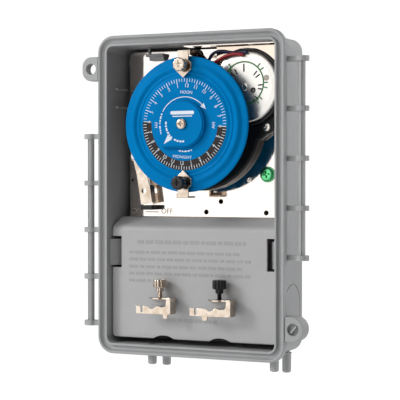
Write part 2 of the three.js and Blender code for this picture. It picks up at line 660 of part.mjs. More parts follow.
place('gear_housing', gearHousing(), black());
housingScrews.forEach(([x, z], i) => {
  place(`housing_screw_${i + 1}`, screw(x, z, 3, housing.front - GAP, 1.6, 1.3, housing.front + 4, 0.7), steel());
});
place('dial_post', dialPost(), steel());
place('dial_gear', dialGear(), brass());
place('idler_pin', idlerPin(), steel());
place('reduction_gear', reductionGear(), brass());
place('motor_rotor', motorRotor(), steel());
place('motor_bracket', motorBracket(), nickel());
place('motor_coil', motorCoil(), copper());
place('motor_can', motorCan(), nickel());
place('motor_lead_red', lead(leads.red), rubber(0xb02028));
place('motor_lead_blue', lead(leads.blue), rubber(0x1c2c6c));

place('dial', dialDisc(), blue());
place('pointer_hub', pointerHub(), blue());
place('hub_screw', screw(dial.x, dial.z, 3.75, pointer.front - GAP, 2, 1.5, -43.5, 1.1), steel());

const onFrame = onDial(90);
const offFrame = onDial(-90);
place('tripper_on_clip', clipSolid('on'), nickel(), onFrame);
place('tripper_on_screw', thumbScrew(0.8, 6.5), nickel(), onFrame);
place('tripper_off_clip', clipSolid('off'), nickel(), offFrame);
place('tripper_off_screw', thumbScrew(1.2, 8.8), black(), offFrame);

place('trip_lever', tripLever(), nickel());
place('lever_shoe', leverShoe(), black());
place('lever_pin', leverPin(), steel());
place('lever_spring', leverSpring(), steel());
place('switch_base', switchBase(), black());
place('switch_rocker', switchRocker(), black());
place('rocker_blade', rockerBlade(), brass());
place('fixed_contact', fixedContact(), brass());

place('terminal_block', terminalBlock(), black());
for (let i = 0; i < terminals.bays; i += 1) {
  place(`terminal_tab_${i + 1}`, terminalTab(i), brass());
  place(`terminal_screw_${i + 1}`, screw(bayX(i), -79, 3.6, terminals.back - 6.5 - 2 * GAP, 2.2, 1.6,
    terminals.back - 2, 1), steel());
}

place('dead_front_cover', coverShell(), lightGrey());
place('spare_on_clip', clipSolid('on'), nickel(), onCover(spare.onX));
place('spare_on_screw', thumbScrew(4.4, 8.2), nickel(), onCover(spare.onX));
place('spare_off_clip', clipSolid('off'), nickel(), onCover(spare.offX));
place('spare_off_screw', thumbScrew(4.4, 9.2), black(), onCover(spare.offX));

export default timer;
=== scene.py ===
import math

import bmesh
import bpy
from mathutils import Matrix, Vector


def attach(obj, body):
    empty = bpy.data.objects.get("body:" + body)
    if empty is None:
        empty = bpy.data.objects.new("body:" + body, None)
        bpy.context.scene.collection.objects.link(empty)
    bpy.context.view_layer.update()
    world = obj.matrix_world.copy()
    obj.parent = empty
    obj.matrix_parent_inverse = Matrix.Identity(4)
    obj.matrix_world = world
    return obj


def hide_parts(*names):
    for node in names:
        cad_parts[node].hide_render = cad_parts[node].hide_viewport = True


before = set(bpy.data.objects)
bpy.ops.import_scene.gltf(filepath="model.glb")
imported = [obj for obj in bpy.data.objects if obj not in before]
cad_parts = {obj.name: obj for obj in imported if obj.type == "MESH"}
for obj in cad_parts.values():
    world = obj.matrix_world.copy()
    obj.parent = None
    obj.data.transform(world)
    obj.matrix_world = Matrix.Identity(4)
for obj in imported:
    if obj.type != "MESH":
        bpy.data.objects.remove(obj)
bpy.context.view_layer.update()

MM = 0.001
scene = bpy.context.scene

# ------------------------------------------------------------------ driving sizes, as in the frame
RIM = {"half_w": 72.25, "half_h": 114.0, "corner": 12.0, "front": -46.0, "thick": 5.8}
WALL = {"half_w": 68.25, "half_h": 110.0, "corner": 9.0}
INNER = {"half_w": 64.65, "half_h": 106.4, "corner": 4.6}
PLATE = {"front": -17.0, "back": -15.8, "half_w": 61.0, "top": 104.0, "bottom": -99.0}
DIAL = {"x": -2.0, "z": 49.7, "face": -48.0}
MOTOR = {"x": 37.1, "z": 75.6, "radius": 25.1, "flat": 20.5}
BRACKET = {"front": -28.6, "back": -27.6, "left": 14.0, "right": 63.2, "bottom": 88.0, "top": 104.3,
           "foot": 10.0}
HOUSING = {"front": -24.0, "back": -17.3, "radius": 46.7, "collar": 27.2, "collar_front": -29.3}
COVER = {"half_w": 64.2, "front": -39.0, "bottom": -102.5, "face_top": -22.8}
RAIL = {"x": 81.9, "y": -38.4, "top": 93.3, "pitch": 33.9, "count": 5, "rod": 2.4, "thick": 3.6}
EAR = {"x": 78.1, "z": 90.75, "out": 85.4, "half": 8.7, "hole": 4.0, "front": -45.4, "thick": 7.5,
       "boss": 12.4}
SPARE = {"y": -46.0, "seat": -73.3, "on_x": -62.9, "off_x": -17.0}
LEVER = {"x": -51.5, "z": 28.0}
HOUSING_SCREWS = ((51.1, 47.6), (-9.6, 87.6), (-31.6, 24.8))
PLATE_SCREWS = (("left", -58.0, 10), ("right", 58.0, 35))
PLATE_SCREW_Z = -86.0
GROUND_SCREW = (48.2, 14.6)
GROMMET = (-6.2, 100.2)
SEAT = PLATE["front"] - 0.3
CLIP_SEAT = -49.1
CLIP_HOLE = 41.0

# ------------------------------------------------------------------ camera, fitted to the enclosure's rim
camera_data = bpy.data.cameras.new("camera")
camera = bpy.data.objects.new("camera", camera_data)
scene.collection.objects.link(camera)
scene.camera = camera
camera_data.sensor_width = 36.0
camera_data.lens = 123.6
camera.location = (0.4131, -0.9122, 0.0115)
camera.rotation_euler = (math.radians(90 - 0.882), 0.0, math.radians(25))


# ------------------------------------------------------------------ mesh helpers
SHARP_ANGLE = 38


def link(obj):
    scene.collection.objects.link(obj)
    return obj


def solid(name, verts, faces, matrix=None):
    """A mesh object from points in millimetres, with its faces turned outwards."""
    data = bpy.data.meshes.new(name)
    data.from_pydata([tuple(v) for v in verts], [], faces)
    if matrix is not None:
        data.transform(matrix)
    data.transform(Matrix.Scale(MM, 4))
    bm = bmesh.new()
    bm.from_mesh(data)
    bmesh.ops.recalc_face_normals(bm, faces=bm.faces)
    bm.to_mesh(data)
    bm.free()
    return link(bpy.data.objects.new(name, data))


def loft(name, sections, matrix=None):
    """Closed sections of equal length joined by quads, and closed at both ends."""
    n = len(sections[0])
    verts = [point for section in sections for point in section]
    faces = []
    for a in range(0, len(verts) - n, n):
        b = a + n
        faces += [(a + i, a + (i + 1) % n, b + (i + 1) % n, b + i) for i in range(n)]
    faces += [tuple(reversed(range(n))), tuple(range(len(verts) - n, len(verts)))]
    return solid(name, verts, faces, matrix)


def facing(x, z, y=0.0):
    """Places a piece made round its own Z so that its +Z points out of the object's front (-Y)."""
    return Matrix(((1, 0, 0, x), (0, 0, -1, y), (0, 1, 0, z), (0, 0, 0, 1)))


def inward(x, z, y):
    """Places a piece made round its own Z so that its +Z points into the wall (+Y)."""
    return Matrix(((1, 0, 0, x), (0, 0, 1, y), (0, 1, 0, z), (0, 0, 0, 1)))


def spun(angle):
    """A turn about Z, in degrees."""
    return Matrix.Rotation(math.radians(angle), 4, "Z")


def prism(name, outline, front, back):
    """An outline of (x, z) points run along Y."""
    return loft(name, [[(x, y, z) for x, z in outline] for y in (front, back)])


def slab(name, outline, low, high, matrix=None):
    """An outline of (x, y) points run along Z, then placed."""
    return loft(name, [[(x, y, z) for x, y in outline] for z in (low, high)], matrix)


def run_along_x(name, outline, left, right):
    """An outline of (y, z) points run along X."""
    return loft(name, [[(x, y, z) for y, z in outline] for x in (left, right)])


def block(name, x0, x1, y0, y1, z0, z1):
    return slab(name, [(x0, y0), (x1, y0), (x1, y1), (x0, y1)], z0, z1)


def lifted(profile, base):
    """A profile whose heights are given above (or below) a base height."""
    return [(radius, base + height) for radius, height in profile]


def lathe(name, profile, matrix=None, segments=96):
    """A closed profile of (radius, height) points turned about its own Z. Radius 0 ends on the axis."""
    verts, faces, rows = [], [], []
    for radius, height in profile:
        if radius < 1e-6:
            rows.append([len(verts)] * segments)
            verts.append((0, 0, height))
        else:
            rows.append(list(range(len(verts), len(verts) + segments)))
            verts += [(radius * math.cos(t), radius * math.sin(t), height)
                      for t in (2 * math.pi * i / segments for i in range(segments))]
    open_end = profile[0][0] < 1e-6 or profile[-1][0] < 1e-6
    pairs = list(zip(rows, rows[1:])) + ([] if open_end else [(rows[-1], rows[0])])
    for a, b in pairs:
        for i in range(segments):
            j = (i + 1) % segments
            corner = list(dict.fromkeys([a[i], a[j], b[j], b[i]]))
            if len(corner) > 2:
                faces.append(tuple(corner))
    return solid(name, verts, faces, matrix)


def drum(name, radius, low, high, matrix=None, segments=48, rim=0.0):
    """A cylinder about its own Z, its upper rim rounded by the given size."""
    shoulder = arc(radius - rim, high - rim, rim, 0, 90, 4) if rim else [(radius, high)]
    return lathe(name, [(0, low), (radius, low)] + shoulder + [(0, high)], matrix, segments)


def arc(cx, cy, radius, start, end, steps):
    """Points on an arc, angles in degrees."""
    return [(cx + radius * math.cos(math.radians(start + (end - start) * i / steps)),
             cy + radius * math.sin(math.radians(start + (end - start) * i / steps)))
            for i in range(steps + 1)]


def circle(cx, cy, radius, steps=48):
    return arc(cx, cy, radius, 0, 360, steps)[:-1]


def rounded_rect(x0, x1, y0, y1, radius, steps=8):
    corners = ((x1 - radius, y0 + radius), (x1 - radius, y1 - radius), (x0 + radius, y1 - radius),
               (x0 + radius, y0 + radius))
    outline = []
    for quarter, (x, y) in enumerate(corners):
        outline += arc(x, y, radius, 90 * quarter - 90, 90 * quarter, steps)
    return outline


def apply_modifiers(obj):
    graph = bpy.context.evaluated_depsgraph_get()
    data = bpy.data.meshes.new_from_object(obj.evaluated_get(graph))
    obj.modifiers.clear()
    obj.data = data
    return obj


def combine(obj, operation, others):
    for other in others:
        modifier = obj.modifiers.new("combine", "BOOLEAN")
        modifier.operation = operation
        modifier.solver = "MANIFOLD"
        modifier.object = other
    apply_modifiers(obj)
    for other in others:
        bpy.data.objects.remove(other)
    return obj


def cut(obj, *others):
    return combine(obj, "DIFFERENCE", others)


def join(obj, *others):
    return combine(obj, "UNION", others)


def bevel(obj, width, segments=2, angle=32):
    """Rounds the edges that turn by more than the angle."""
    bm = bmesh.new()
    bm.from_mesh(obj.data)
    bmesh.ops.remove_doubles(bm, verts=bm.verts, dist=2e-6)
    bmesh.ops.dissolve_limit(bm, angle_limit=math.radians(1.0), verts=bm.verts, edges=bm.edges)
    bm.to_mesh(obj.data)
    bm.free()
    modifier = obj.modifiers.new("bevel", "BEVEL")
    modifier.width = width * MM
    modifier.segments = segments
    modifier.limit_method = "ANGLE"
    modifier.angle_limit = math.radians(angle)
    modifier.miter_outer = "MITER_ARC"
    return apply_modifiers(obj)


def smooth(obj):
    obj.data.polygons.foreach_set("use_smooth", [True] * len(obj.data.polygons))
    obj.data.set_sharp_from_angle(angle=math.radians(SHARP_ANGLE))
    obj.modifiers.new("weighted", "WEIGHTED_NORMAL").keep_sharp = True


def piece(obj, name, look, node=None, body="case"):
    """Names a finished piece, gives it its look, hides the CAD node it stands for, and ties it to its body.
    """
    obj.name = name
    obj.data.name = name
    obj.data.materials.clear()
    obj.data.materials.append(MATERIALS[look])
    smooth(obj)
    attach(obj, body)
    if node:
        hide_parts(node)
    return obj


def refined(node, name, look, slot, edge, segments=2, body="case"):
    """A copy of a CAD node's shape with its edges rounded."""
    obj = link(bpy.data.objects.new(name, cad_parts[node].data.copy()))
    return piece(bevel(obj, edge, segments), name, look, node, body)


# ------------------------------------------------------------------ material helpers
class Shader:
    """A small wrapper that keeps node graphs short."""

    def __init__(self, name):
        self.material = bpy.data.materials.new(name)
        self.material.use_nodes = True
        self.tree = self.material.node_tree
        self.tree.nodes.clear()
        self.output = self.tree.nodes.new("ShaderNodeOutputMaterial")
        self.bsdf = self.tree.nodes.new("ShaderNodeBsdfPrincipled")
        self.tree.links.new(self.bsdf.outputs[0], self.output.inputs["Surface"])
        self.place = self.tree.nodes.new("ShaderNodeTexCoord").outputs["Object"]

    def node(self, kind, **settings):
        made = self.tree.nodes.new(kind)
        for key, value in settings.items():
            setattr(made, key, value)
        return made

    def feed(self, socket, value):
        if isinstance(value, bpy.types.NodeSocket):
            self.tree.links.new(value, socket)
        else:
            socket.default_value = value

    def fill(self, made, inputs):
        """Feeds a node's sockets, by name or number."""
        for key, value in inputs.items():
            self.feed(made.inputs[key], value)
        return made

    def noise(self, scale, detail=4.0, rough=0.5, stretch=None):
        place = self.place
        if stretch:
            mapping = self.fill(self.node("ShaderNodeMapping"), {"Scale": stretch, "Vector": place})
            place = mapping.outputs[0]
        inputs = {"Vector": place, "Scale": scale, "Detail": detail, "Roughness": rough}
        return self.fill(self.node("ShaderNodeTexNoise"), inputs).outputs["Fac"]

    def cells(self, scale):
        made = self.fill(self.node("ShaderNodeTexVoronoi"), {"Vector": self.place, "Scale": scale})
        return made.outputs["Distance"]

    def ramp(self, value, low, high, start=0.0, end=1.0):
        inputs = {"Value": value, "From Min": low, "From Max": high, "To Min": start, "To Max": end}
        return self.fill(self.node("ShaderNodeMapRange"), inputs).outputs[0]

    def math(self, operation, a, b):
        return self.fill(self.node("ShaderNodeMath", operation=operation), {0: a, 1: b}).outputs[0]

    def mix(self, share, a, b):
        made = self.fill(self.node("ShaderNodeMix", data_type="RGBA"), {0: share, 6: a, 7: b})
        return made.outputs[2]

    def edges(self, radius):
        """Near 1 along convex and concave edges, 0 on flats."""
        soft = self.fill(self.node("ShaderNodeBevel", samples=4), {"Radius": radius * MM}).outputs[0]
        true = self.node("ShaderNodeNewGeometry").outputs["Normal"]
        dot = self.fill(self.node("ShaderNodeVectorMath", operation="DOT_PRODUCT"), {0: soft, 1: true})
        return self.ramp(dot.outputs["Value"], 0.995, 0.90)

    def bump(self, height, strength, distance, normal=None):
        inputs = {"Strength": strength, "Distance": distance * MM, "Height": height}
        made = self.fill(self.node("ShaderNodeBump"), inputs)
        if normal is not None:
            self.feed(made.inputs["Normal"], normal)
        return made.outputs[0]

    def finish(self, color, roughness, normal=None, **fixed):
        self.fill(self.bsdf, {"Base Color": color, "Roughness": roughness})
        if normal is not None:
            self.feed(self.bsdf.inputs["Normal"], normal)
        for key, value in fixed.items():
            self.bsdf.inputs[key.replace("_", " ")].default_value = value
        return self.material


def rgb(r, g, b):
    """A display colour, 0 to 255, as linear light."""
    def linear(c):
        c /= 255
        return c / 12.92 if c <= 0.04045 else ((c + 0.055) / 1.055) ** 2.4
    return (linear(r), linear(g), linear(b), 1.0)


def scaled(color, factor):
    return (color[0] * factor, color[1] * factor, color[2] * factor, 1.0)


def moulded(name, color, roughness, grain, edge):
    """Moulded plastic: spark-eroded grain, slight mottling, lighter worn edges."""
    s = Shader(name)
    cloud = s.ramp(s.noise(34, 3), 0.35, 0.65)
    body = s.mix(cloud, scaled(color, 0.965), scaled(color, 1.03))
    speck = s.ramp(s.noise(1700, 2), 0.35, 0.7)
    body = s.mix(s.math("MULTIPLY", speck, 0.35), body, scaled(color, 0.93))
    worn = s.math("MULTIPLY", s.edges(0.7), s.ramp(s.noise(160, 4), 0.3, 0.65))
    body = s.mix(s.math("MULTIPLY", worn, edge), body, scaled(color, 1.35))
    rough = s.ramp(s.noise(90, 4), 0.3, 0.7, roughness - 0.06, roughness + 0.06)
    height = s.math("ADD", s.math("MULTIPLY", s.noise(2600, 3), 0.7), s.math("MULTIPLY", s.cells(3400), 0.3))
    return s.finish(body, rough, s.bump(height, grain, 0.06))


def plated(name, color, roughness, wave, scratch, brushed=(1.0, 1.0, 0.06), tarnish=0.93, patch=26):
    """Plated or bare metal: long soft waves, fine rubbing marks, and a tarnish in patches."""
    s = Shader(name)
    cloud = s.ramp(s.noise(patch, 4), 0.35, 0.7)
    dull = (color[0] * tarnish, color[1] * tarnish ** 1.25, color[2] * tarnish ** 1.6, 1.0)
    body = s.mix(cloud, color, dull)
    worn = s.math("MULTIPLY", s.edges(0.35), s.ramp(s.noise(420, 3), 0.35, 0.6))
    body = s.mix(s.math("MULTIPLY", worn, 0.25), body, (1.0, 0.99, 0.97, 1.0))
    lines = s.noise(900, 3, 0.6, brushed)
    rough = s.ramp(lines, 0.3, 0.75, max(roughness - 0.04, 0.02), roughness + 0.06)
    normal = s.bump(s.noise(38, 2), wave, 0.35)
    normal = s.bump(lines, scratch, 0.01, normal)
    return s.finish(body, rough, normal, Metallic=1.0)


def coated(name, color, roughness, wave=0.12, dusty=0.12, **fixed):
    """Smooth paint, lacquer or glossy plastic with a slight orange-peel and dust."""
    s = Shader(name)
    cloud = s.ramp(s.noise(48, 4), 0.35, 0.7)
    body = s.mix(cloud, scaled(color, 0.95), scaled(color, 1.05))
    dust = s.ramp(s.noise(900, 5, 0.7), 0.62, 0.8, 0.0, dusty)
    body = s.mix(dust, body, scaled(rgb(200, 200, 196), 0.8))
    worn = s.math("MULTIPLY", s.edges(0.5), s.ramp(s.noise(240, 3), 0.4, 0.7))
    pale = tuple(min(1, c * 1.5 + 0.01) for c in color[:3]) + (1.0,)
    body = s.mix(s.math("MULTIPLY", worn, 0.3), body, pale)
    rough = s.ramp(s.noise(130, 4), 0.3, 0.7, roughness - 0.05, roughness + 0.07)
    return s.finish(body, rough, s.bump(s.noise(520, 2), wave, 0.05), **fixed)


MATERIALS = {
    "grey": moulded("enclosure_grey", rgb(162, 164, 166), 0.50, 0.22, 0.35),
    "cover": moulded("cover_grey", rgb(173, 174, 176), 0.48, 0.18, 0.25),
    "emboss": moulded("cover_emboss", rgb(160, 161, 163), 0.52, 0.12, 0.1),
    "plate": plated("bright_nickel", (0.84, 0.785, 0.745, 1.0), 0.07, 0.05, 0.12, tarnish=0.95),
    "sheet": plated("bright_sheet", (0.74, 0.63, 0.545, 1.0), 0.12, 0.08, 0.2, tarnish=0.9),
    "steel": plated("zinc_steel", (0.80, 0.78, 0.75, 1.0), 0.22, 0.1, 0.3),
    "clip": plated("clip_nickel", (0.66, 0.585, 0.51, 1.0), 0.17, 0.5, 0.2, tarnish=0.72, patch=210),
    "motor": plated("motor_tin", (0.72, 0.715, 0.695, 1.0), 0.30, 0.1, 0.12),
    "brass": plated("brass", (0.86, 0.64, 0.30, 1.0), 0.24, 0.1, 0.3),
    "copper": plated("copper_winding", (0.80, 0.40, 0.22, 1.0), 0.32, 0.2, 0.6, brushed=(1.0, 9.0, 1.0)),
    "blue": coated("dial_blue", (0.0, 0.192, 0.50, 1.0), 0.34, 0.10, 0.0, Specular_IOR_Level=0.02),
    "black": coated("black_plastic", rgb(22, 24, 27), 0.32, 0.16, 0.04, Specular_IOR_Level=0.35),
    "black_metal": coated("black_oxide", rgb(16, 16, 18), 0.28, 0.2, 0.02, Specular_IOR_Level=0.4),
    "green": coated("ground_green", (0.14, 0.62, 0.27, 1.0), 0.2, 0.2, 0.02, Metallic=0.95),
    "red_wire": coated("wire_red", rgb(150, 18, 30), 0.40, 0.15, 0.04),
    "blue_wire": coated("wire_blue", rgb(14, 20, 66), 0.40, 0.15, 0.04),
    "white_ink": coated("white_ink", rgb(225, 235, 245), 0.50, 0.05, 0.02, Specular_IOR_Level=0.2),
    "black_ink": coated("black_ink", rgb(46, 40, 38), 0.50, 0.05, 0.02, Specular_IOR_Level=0.2),
    "green_ink": coated("green_ink", rgb(38, 112, 58), 0.50, 0.05),
    "grey_ink": coated("grey_ink", rgb(176, 168, 158), 0.50, 0.05, 0.02),
}


# ------------------------------------------------------------------ enclosure
def shrunk(size, corner_share, steps):
    """Rounded rectangles of a size shrunk by each offset, at each depth."""
    made = []
    for offset, y in steps:
        w, h = size["half_w"] - offset, size["half_h"] - offset
        outline = rounded_rect(-w, w, -h, h, size["corner"] - corner_share * offset, 14)
        made.append([(x, y, z) for x, z in outline])
    return made


RIM_STEPS = ((0.9, 5.8), (0.3, 5.6), (0.0, 5.0), (0.0, 1.2), (0.15, 0.6), (0.5, 0.2), (1.0, 0.0), (1.6, 0.05),
             (2.1, 0.4), (2.4, 1.1), (2.9, 1.9), (3.7, 2.35), (4.7, 2.6), (5.4, 2.7), (5.75, 2.3), (5.9, 0.7),
             (6.05, 0.2), (6.4, 0.0), (7.0, 0.0), (7.4, 0.2))


def box_shell():
    """Back, walls and rim as one skin: flange, rounded bead, gasket channel, inner lip and cavity."""
    front = RIM["front"]
    back = front + RIM["thick"]
    walls = ((2.2, 0.0), (1.0, -0.35), (0.3, -1.0), (0.0, -2.2), (0.0, back + 0.7), (-0.2, back + 0.2),
             (-0.7, back))
    cavity = ((0.0, front + 0.8), (0.0, -5.4), (0.4, -4.0), (1.6, -3.0))
    rim = [(offset, front + depth) for offset, depth in RIM_STEPS]
    return loft("box_shell", shrunk(WALL, 1, walls) + shrunk(RIM, 1, rim) + shrunk(INNER, 0.4, cavity))


KNOCKOUT = 14.2


def cover_catch(side):
    """The ramp on a side wall that the cover snaps behind."""
    reach = ((0.4, -41), (-0.8, -41), (-6.2, -34.5), (-6.2, -31), (0.4, -31))
    return slab("catch", [(side * (INNER["half_w"] + out), y) for out, y in reach], -50.6, -31.8)


def scored_panel(side):
    """The groove round a knock-out panel on a side wall: a flat-bottomed arch."""
    middle, low = -20.5, -88.0

    def outline(grow):
        r, foot = KNOCKOUT + grow, low - grow
        return [(middle + r, foot)] + arc(middle, low + 12, r, 0, 180, 36) + [(middle - r, foot)]
    x0, x1 = sorted((side * (WALL["half_w"] - 0.5), side * (WALL["half_w"] + 1.0)))
    keep = run_along_x("keep", outline(-0.35), x0 - 1, x1 + 1)
    return cut(run_along_x("score", outline(0.35), x0, x1), keep)


def hoop(name, inner, outer, low, high, matrix, segments):
    """A flat ring of rectangular section."""
    return lathe(name, [(inner, low), (outer, low), (outer, high), (inner, high)], matrix, segments)


def scored_ring(x, z, radius):
    """A ring scored into the back: a knock-out, or where a fixing screw is drilled through."""
    return hoop("score", radius - 0.4, radius + 0.4, -1.0, 0.5, facing(x, z), 48)


def moulding(obj, name, node):
    """A finished piece of the enclosure's own plastic."""
    piece(obj, name, "grey", node)


def build_enclosure():
    body = box_shell()
    wall = -INNER["half_w"]
    left, right = -45.5, -31.4
    extras = [cover_catch(-1), cover_catch(1)]
    for z in (63.5, 76.5):
        extras.append(block("rib", wall - 0.5, wall + 2.1, -33, SEAT, z - 0.8, z + 0.8))
    extras.append(block("latch_neck", left, left + 1.5, SEAT - 0.9, SEAT, 100.5, INNER["half_h"] + 0.5))
    extras.append(bevel(block("latch_bar", left, right, SEAT - 5.1, SEAT, 100.1, 102.4), 0.3))
    extras.append(bevel(block("latch_step", left + 2.4, right, SEAT - 3.9, SEAT, 97.4, 100.2), 0.3))
    for _, x, _ in PLATE_SCREWS:
        for z in (PLATE_SCREW_Z, 96):
            extras.append(drum("boss", 4.5, 2.5, 15.5, facing(x, z)))
    join(body, *extras)
    scores = [scored_panel(-1), scored_panel(1)]
    scores += [scored_ring(x, z, 3.6) for x, z in ((0, 96), (-46, -96), (46, -96))]
    scores += [scored_ring(0, z, KNOCKOUT) for z in (-62, 40)]
    cut(body, *scores)
    bevel(body, 0.35, 2, 40)
    moulding(body, "enclosure_shell", "enclosure_body")


def build_legs():
    top = -WALL["half_h"] - 0.3
    for row, y, bottom in (("front", -36.6, -121.0), ("rear", -13.5, -124.4)):
        profile = [(0, bottom), (1.9, bottom), (2.3, bottom + 0.12), (2.9, bottom + 0.6),
                   (3.05, bottom + 1.0), (3.1, bottom + 2), (3.2, top - 1.4), (3.35, top - 0.6), (3.9, top),
                   (2.2, top + 0.02), (2.2, -INNER["half_h"]), (0, -INNER["half_h"])]
        for side, x in (("left", -32.8), ("right", 61.2)):
            leg = lathe("leg", profile, Matrix.Translation((x, y, 0)), 40)
            moulding(leg, f"leg_{row}_{side}", f"case_leg_{row}_{side}")


def rail_rod_outline(x, side):
    """A round rod with a shallow groove along its front."""
    toward = math.degrees(math.atan2(-1.0, 0.42 * side))
    outline = arc(0, 0, RAIL["rod"], toward + 13, toward + 347, 40)
    outline += arc(0, 0, RAIL["rod"] - 0.75, toward - 6, toward + 6, 3)
    return [(x + u, RAIL["y"] + v) for u, v in outline]


def lug_outline(x, side):
    """The eye round the rod, its knob on the outer side, and the web to the wall, as (x, y)."""
    eye = 3.95
    inner = WALL["half_w"] + 0.3 - abs(x)
    points = arc(0, 0, eye, -60, -28, 5) + [(eye + 0.35, -1.9)]
    points += arc(eye + 0.2, -1.2, 0.7, -90, 0, 4) + arc(eye + 0.2, 1.2, 0.7, 0, 90, 4)
    points += arc(0, 0, eye, 28, 95, 8)
    points += [(-3.6, 4.15), (inner + 1.5, 4.15), (inner, 4.6), (inner, -1.5), (-5.2, -1.5), (-3.9, -1.9)]
    points += arc(0, 0, eye, -148, -66, 8)
    return [(x + side * u, RAIL["y"] + v) for u, v in points]


def build_rail(name, side):
    x = side * RAIL["x"]
    zs = [side * (RAIL["top"] - RAIL["pitch"] * i) for i in range(RAIL["count"])]
    half = RAIL["thick"] / 2
    rod = slab("rod", rail_rod_outline(x, side), min(zs) - half + 0.4, max(zs) + half - 0.4)
    join(rod, *[bevel(slab("lug", lug_outline(x, side), z - half, z + half), 0.45) for z in zs])
    moulding(rod, f"hinge_rail_{name}_moulded", f"hinge_rail_{name}")


def case_room(side):
    """What the flange and the side wall take up next to an ear or boss."""
    gap, flange_back = 0.3, RIM["front"] + RIM["thick"]
    flange = block("room", *sorted((0, side * (RIM["half_w"] + gap))), -60, flange_back + gap, -130, 130)
    return join(flange, block("room", *sorted((0, side * (WALL["half_w"] + gap))), -60, 1, -130, 130))


def build_ear():
    e = EAR
    outline = rounded_rect(-e["out"], -60, e["z"] - e["half"], e["z"] + e["half"], 7.0, 12)
    ear = prism("ear", outline, e["front"], e["front"] + e["thick"])
    bevel(ear, 0.9, 3)
    hole = lathe("hole", [(0, -10), (4.7, -10), (4.7, -0.9), (4.25, -0.45), (e["hole"], 0.1),
                          (e["hole"], e["thick"] - 0.6), (4.6, e["thick"] + 0.1), (4.6, 20), (0, 20)],
                 inward(-e["x"], e["z"], e["front"]), 64)
    cut(ear, case_room(-1), hole)
    moulding(ear, "padlock_ear_moulded", "padlock_ear")


def build_boss():
    e = EAR
    outline = rounded_rect(60, e["out"], -e["z"] - e["half"], -e["z"] + e["half"], 8.5, 16)
    boss = prism("boss", outline, e["front"], e["front"] + e["boss"])
    bevel(boss, 0.9, 3)
    place = inward(e["x"], -e["z"], e["front"])
    hole = lathe("hole", [(0, -5), (4.6, -5), (4.6, -0.1), (4.2, 0.25), (e["hole"], 0.7), (e["hole"], 2.9),
                          (3.6, 3.3), (0, 3.3)], place, 64)
    cut(boss, case_room(1), hole)
    ridge = slab("ridge", rounded_rect(-3.2, 3.2, -0.7, 0.7, 0.6, 4), 0.9, 3.8, place @ spun(50))
    join(boss, bevel(ridge, 0.25))
    moulding(boss, "lid_boss_moulded", "lid_boss")


# ------------------------------------------------------------------ plate and its fasteners
PLATE_HOLES = [(12.2, -4.7, 1.8), (0.7, -12.3, 1.8), (47.1, -12.5, 1.8), (-58.9, 10.7, 1.1)]
PLATE_HOLES += [(x, PLATE_SCREW_Z, 1.9) for _, x, _ in PLATE_SCREWS]
PLATE_HOLES += [(*GROUND_SCREW, 2.2), (*GROMMET, 3.5), (-24, -61, 4.0)]


def build_plate():
    p = PLATE
    outline = rounded_rect(-p["half_w"], p["half_w"], p["bottom"], p["top"], 4.0, 8)
    sheet = prism("plate", outline, p["front"], p["back"])
    bend = [(p["back"], 99.0), (p["back"], 105.0)] + arc(p["back"] - 1.2, 104.8, 1.2, 0, 90, 6)
    bend += [(-36.0, 106.0), (-36.0, 104.95), (-18.6, 104.95)] + arc(-18.0, 104.1, 0.9, 90, 0, 5)
    bend += [(p["front"], 99.0)]
    flange = run_along_x("flange", bend, -8.2, 60)
    join(sheet, flange)
    cut(sheet, *[drum("hole", r, 10, 40, facing(x, z), 40) for x, z, r in PLATE_HOLES])
    bevel(sheet, 0.18, 2, 45)
    piece(sheet, "nickel_plate", "plate", "mounting_plate")


def cross_cutter(reach, width, depth, matrix):
    """A Phillips recess: two crossed bars that taper downwards."""
    rings = []
    for z, along, across in ((-depth, 0.35, 0.5), (0, 1, 1), (1.5, 1.2, 1.2)):
        x, y = reach * along, width * across
        rings.append([(-x, -y, z), (x, -y, z), (x, y, z), (-x, y, z)])
    return join(*[loft("bar", rings, matrix @ spun(turn)) for turn in (0, 90)])


def domed_screw(node, x, z, seat, radius, height, shank, end, turn, look="steel", slot="steel"):
    """A pan-head screw with a domed top and a Phillips recess: its head rests on depth seat."""
    low = -seat
    top = low + height
    profile = [(0, -end), (shank - 0.3, -end), (shank, -end + 0.4), (shank, low),
               (radius - 0.15, low), (radius, low + 0.2), (radius, low + 0.35 * height)]
    for i in range(1, 7):
        t = math.pi / 2 * i / 6
        profile.append((radius * (0.62 + 0.38 * math.cos(t)), low + height * (0.35 + 0.6 * math.sin(t))))
    profile += [(radius * 0.3, top), (0, top)]
    screw = lathe("screw", profile, facing(x, z), 56)
    cut(screw, cross_cutter(radius * 0.56, radius * 0.13, height * 0.55, facing(x, z, -top) @ spun(turn)))
    bevel(screw, 0.08, 1, 50)
    piece(screw, f"{node}_head", look, node)


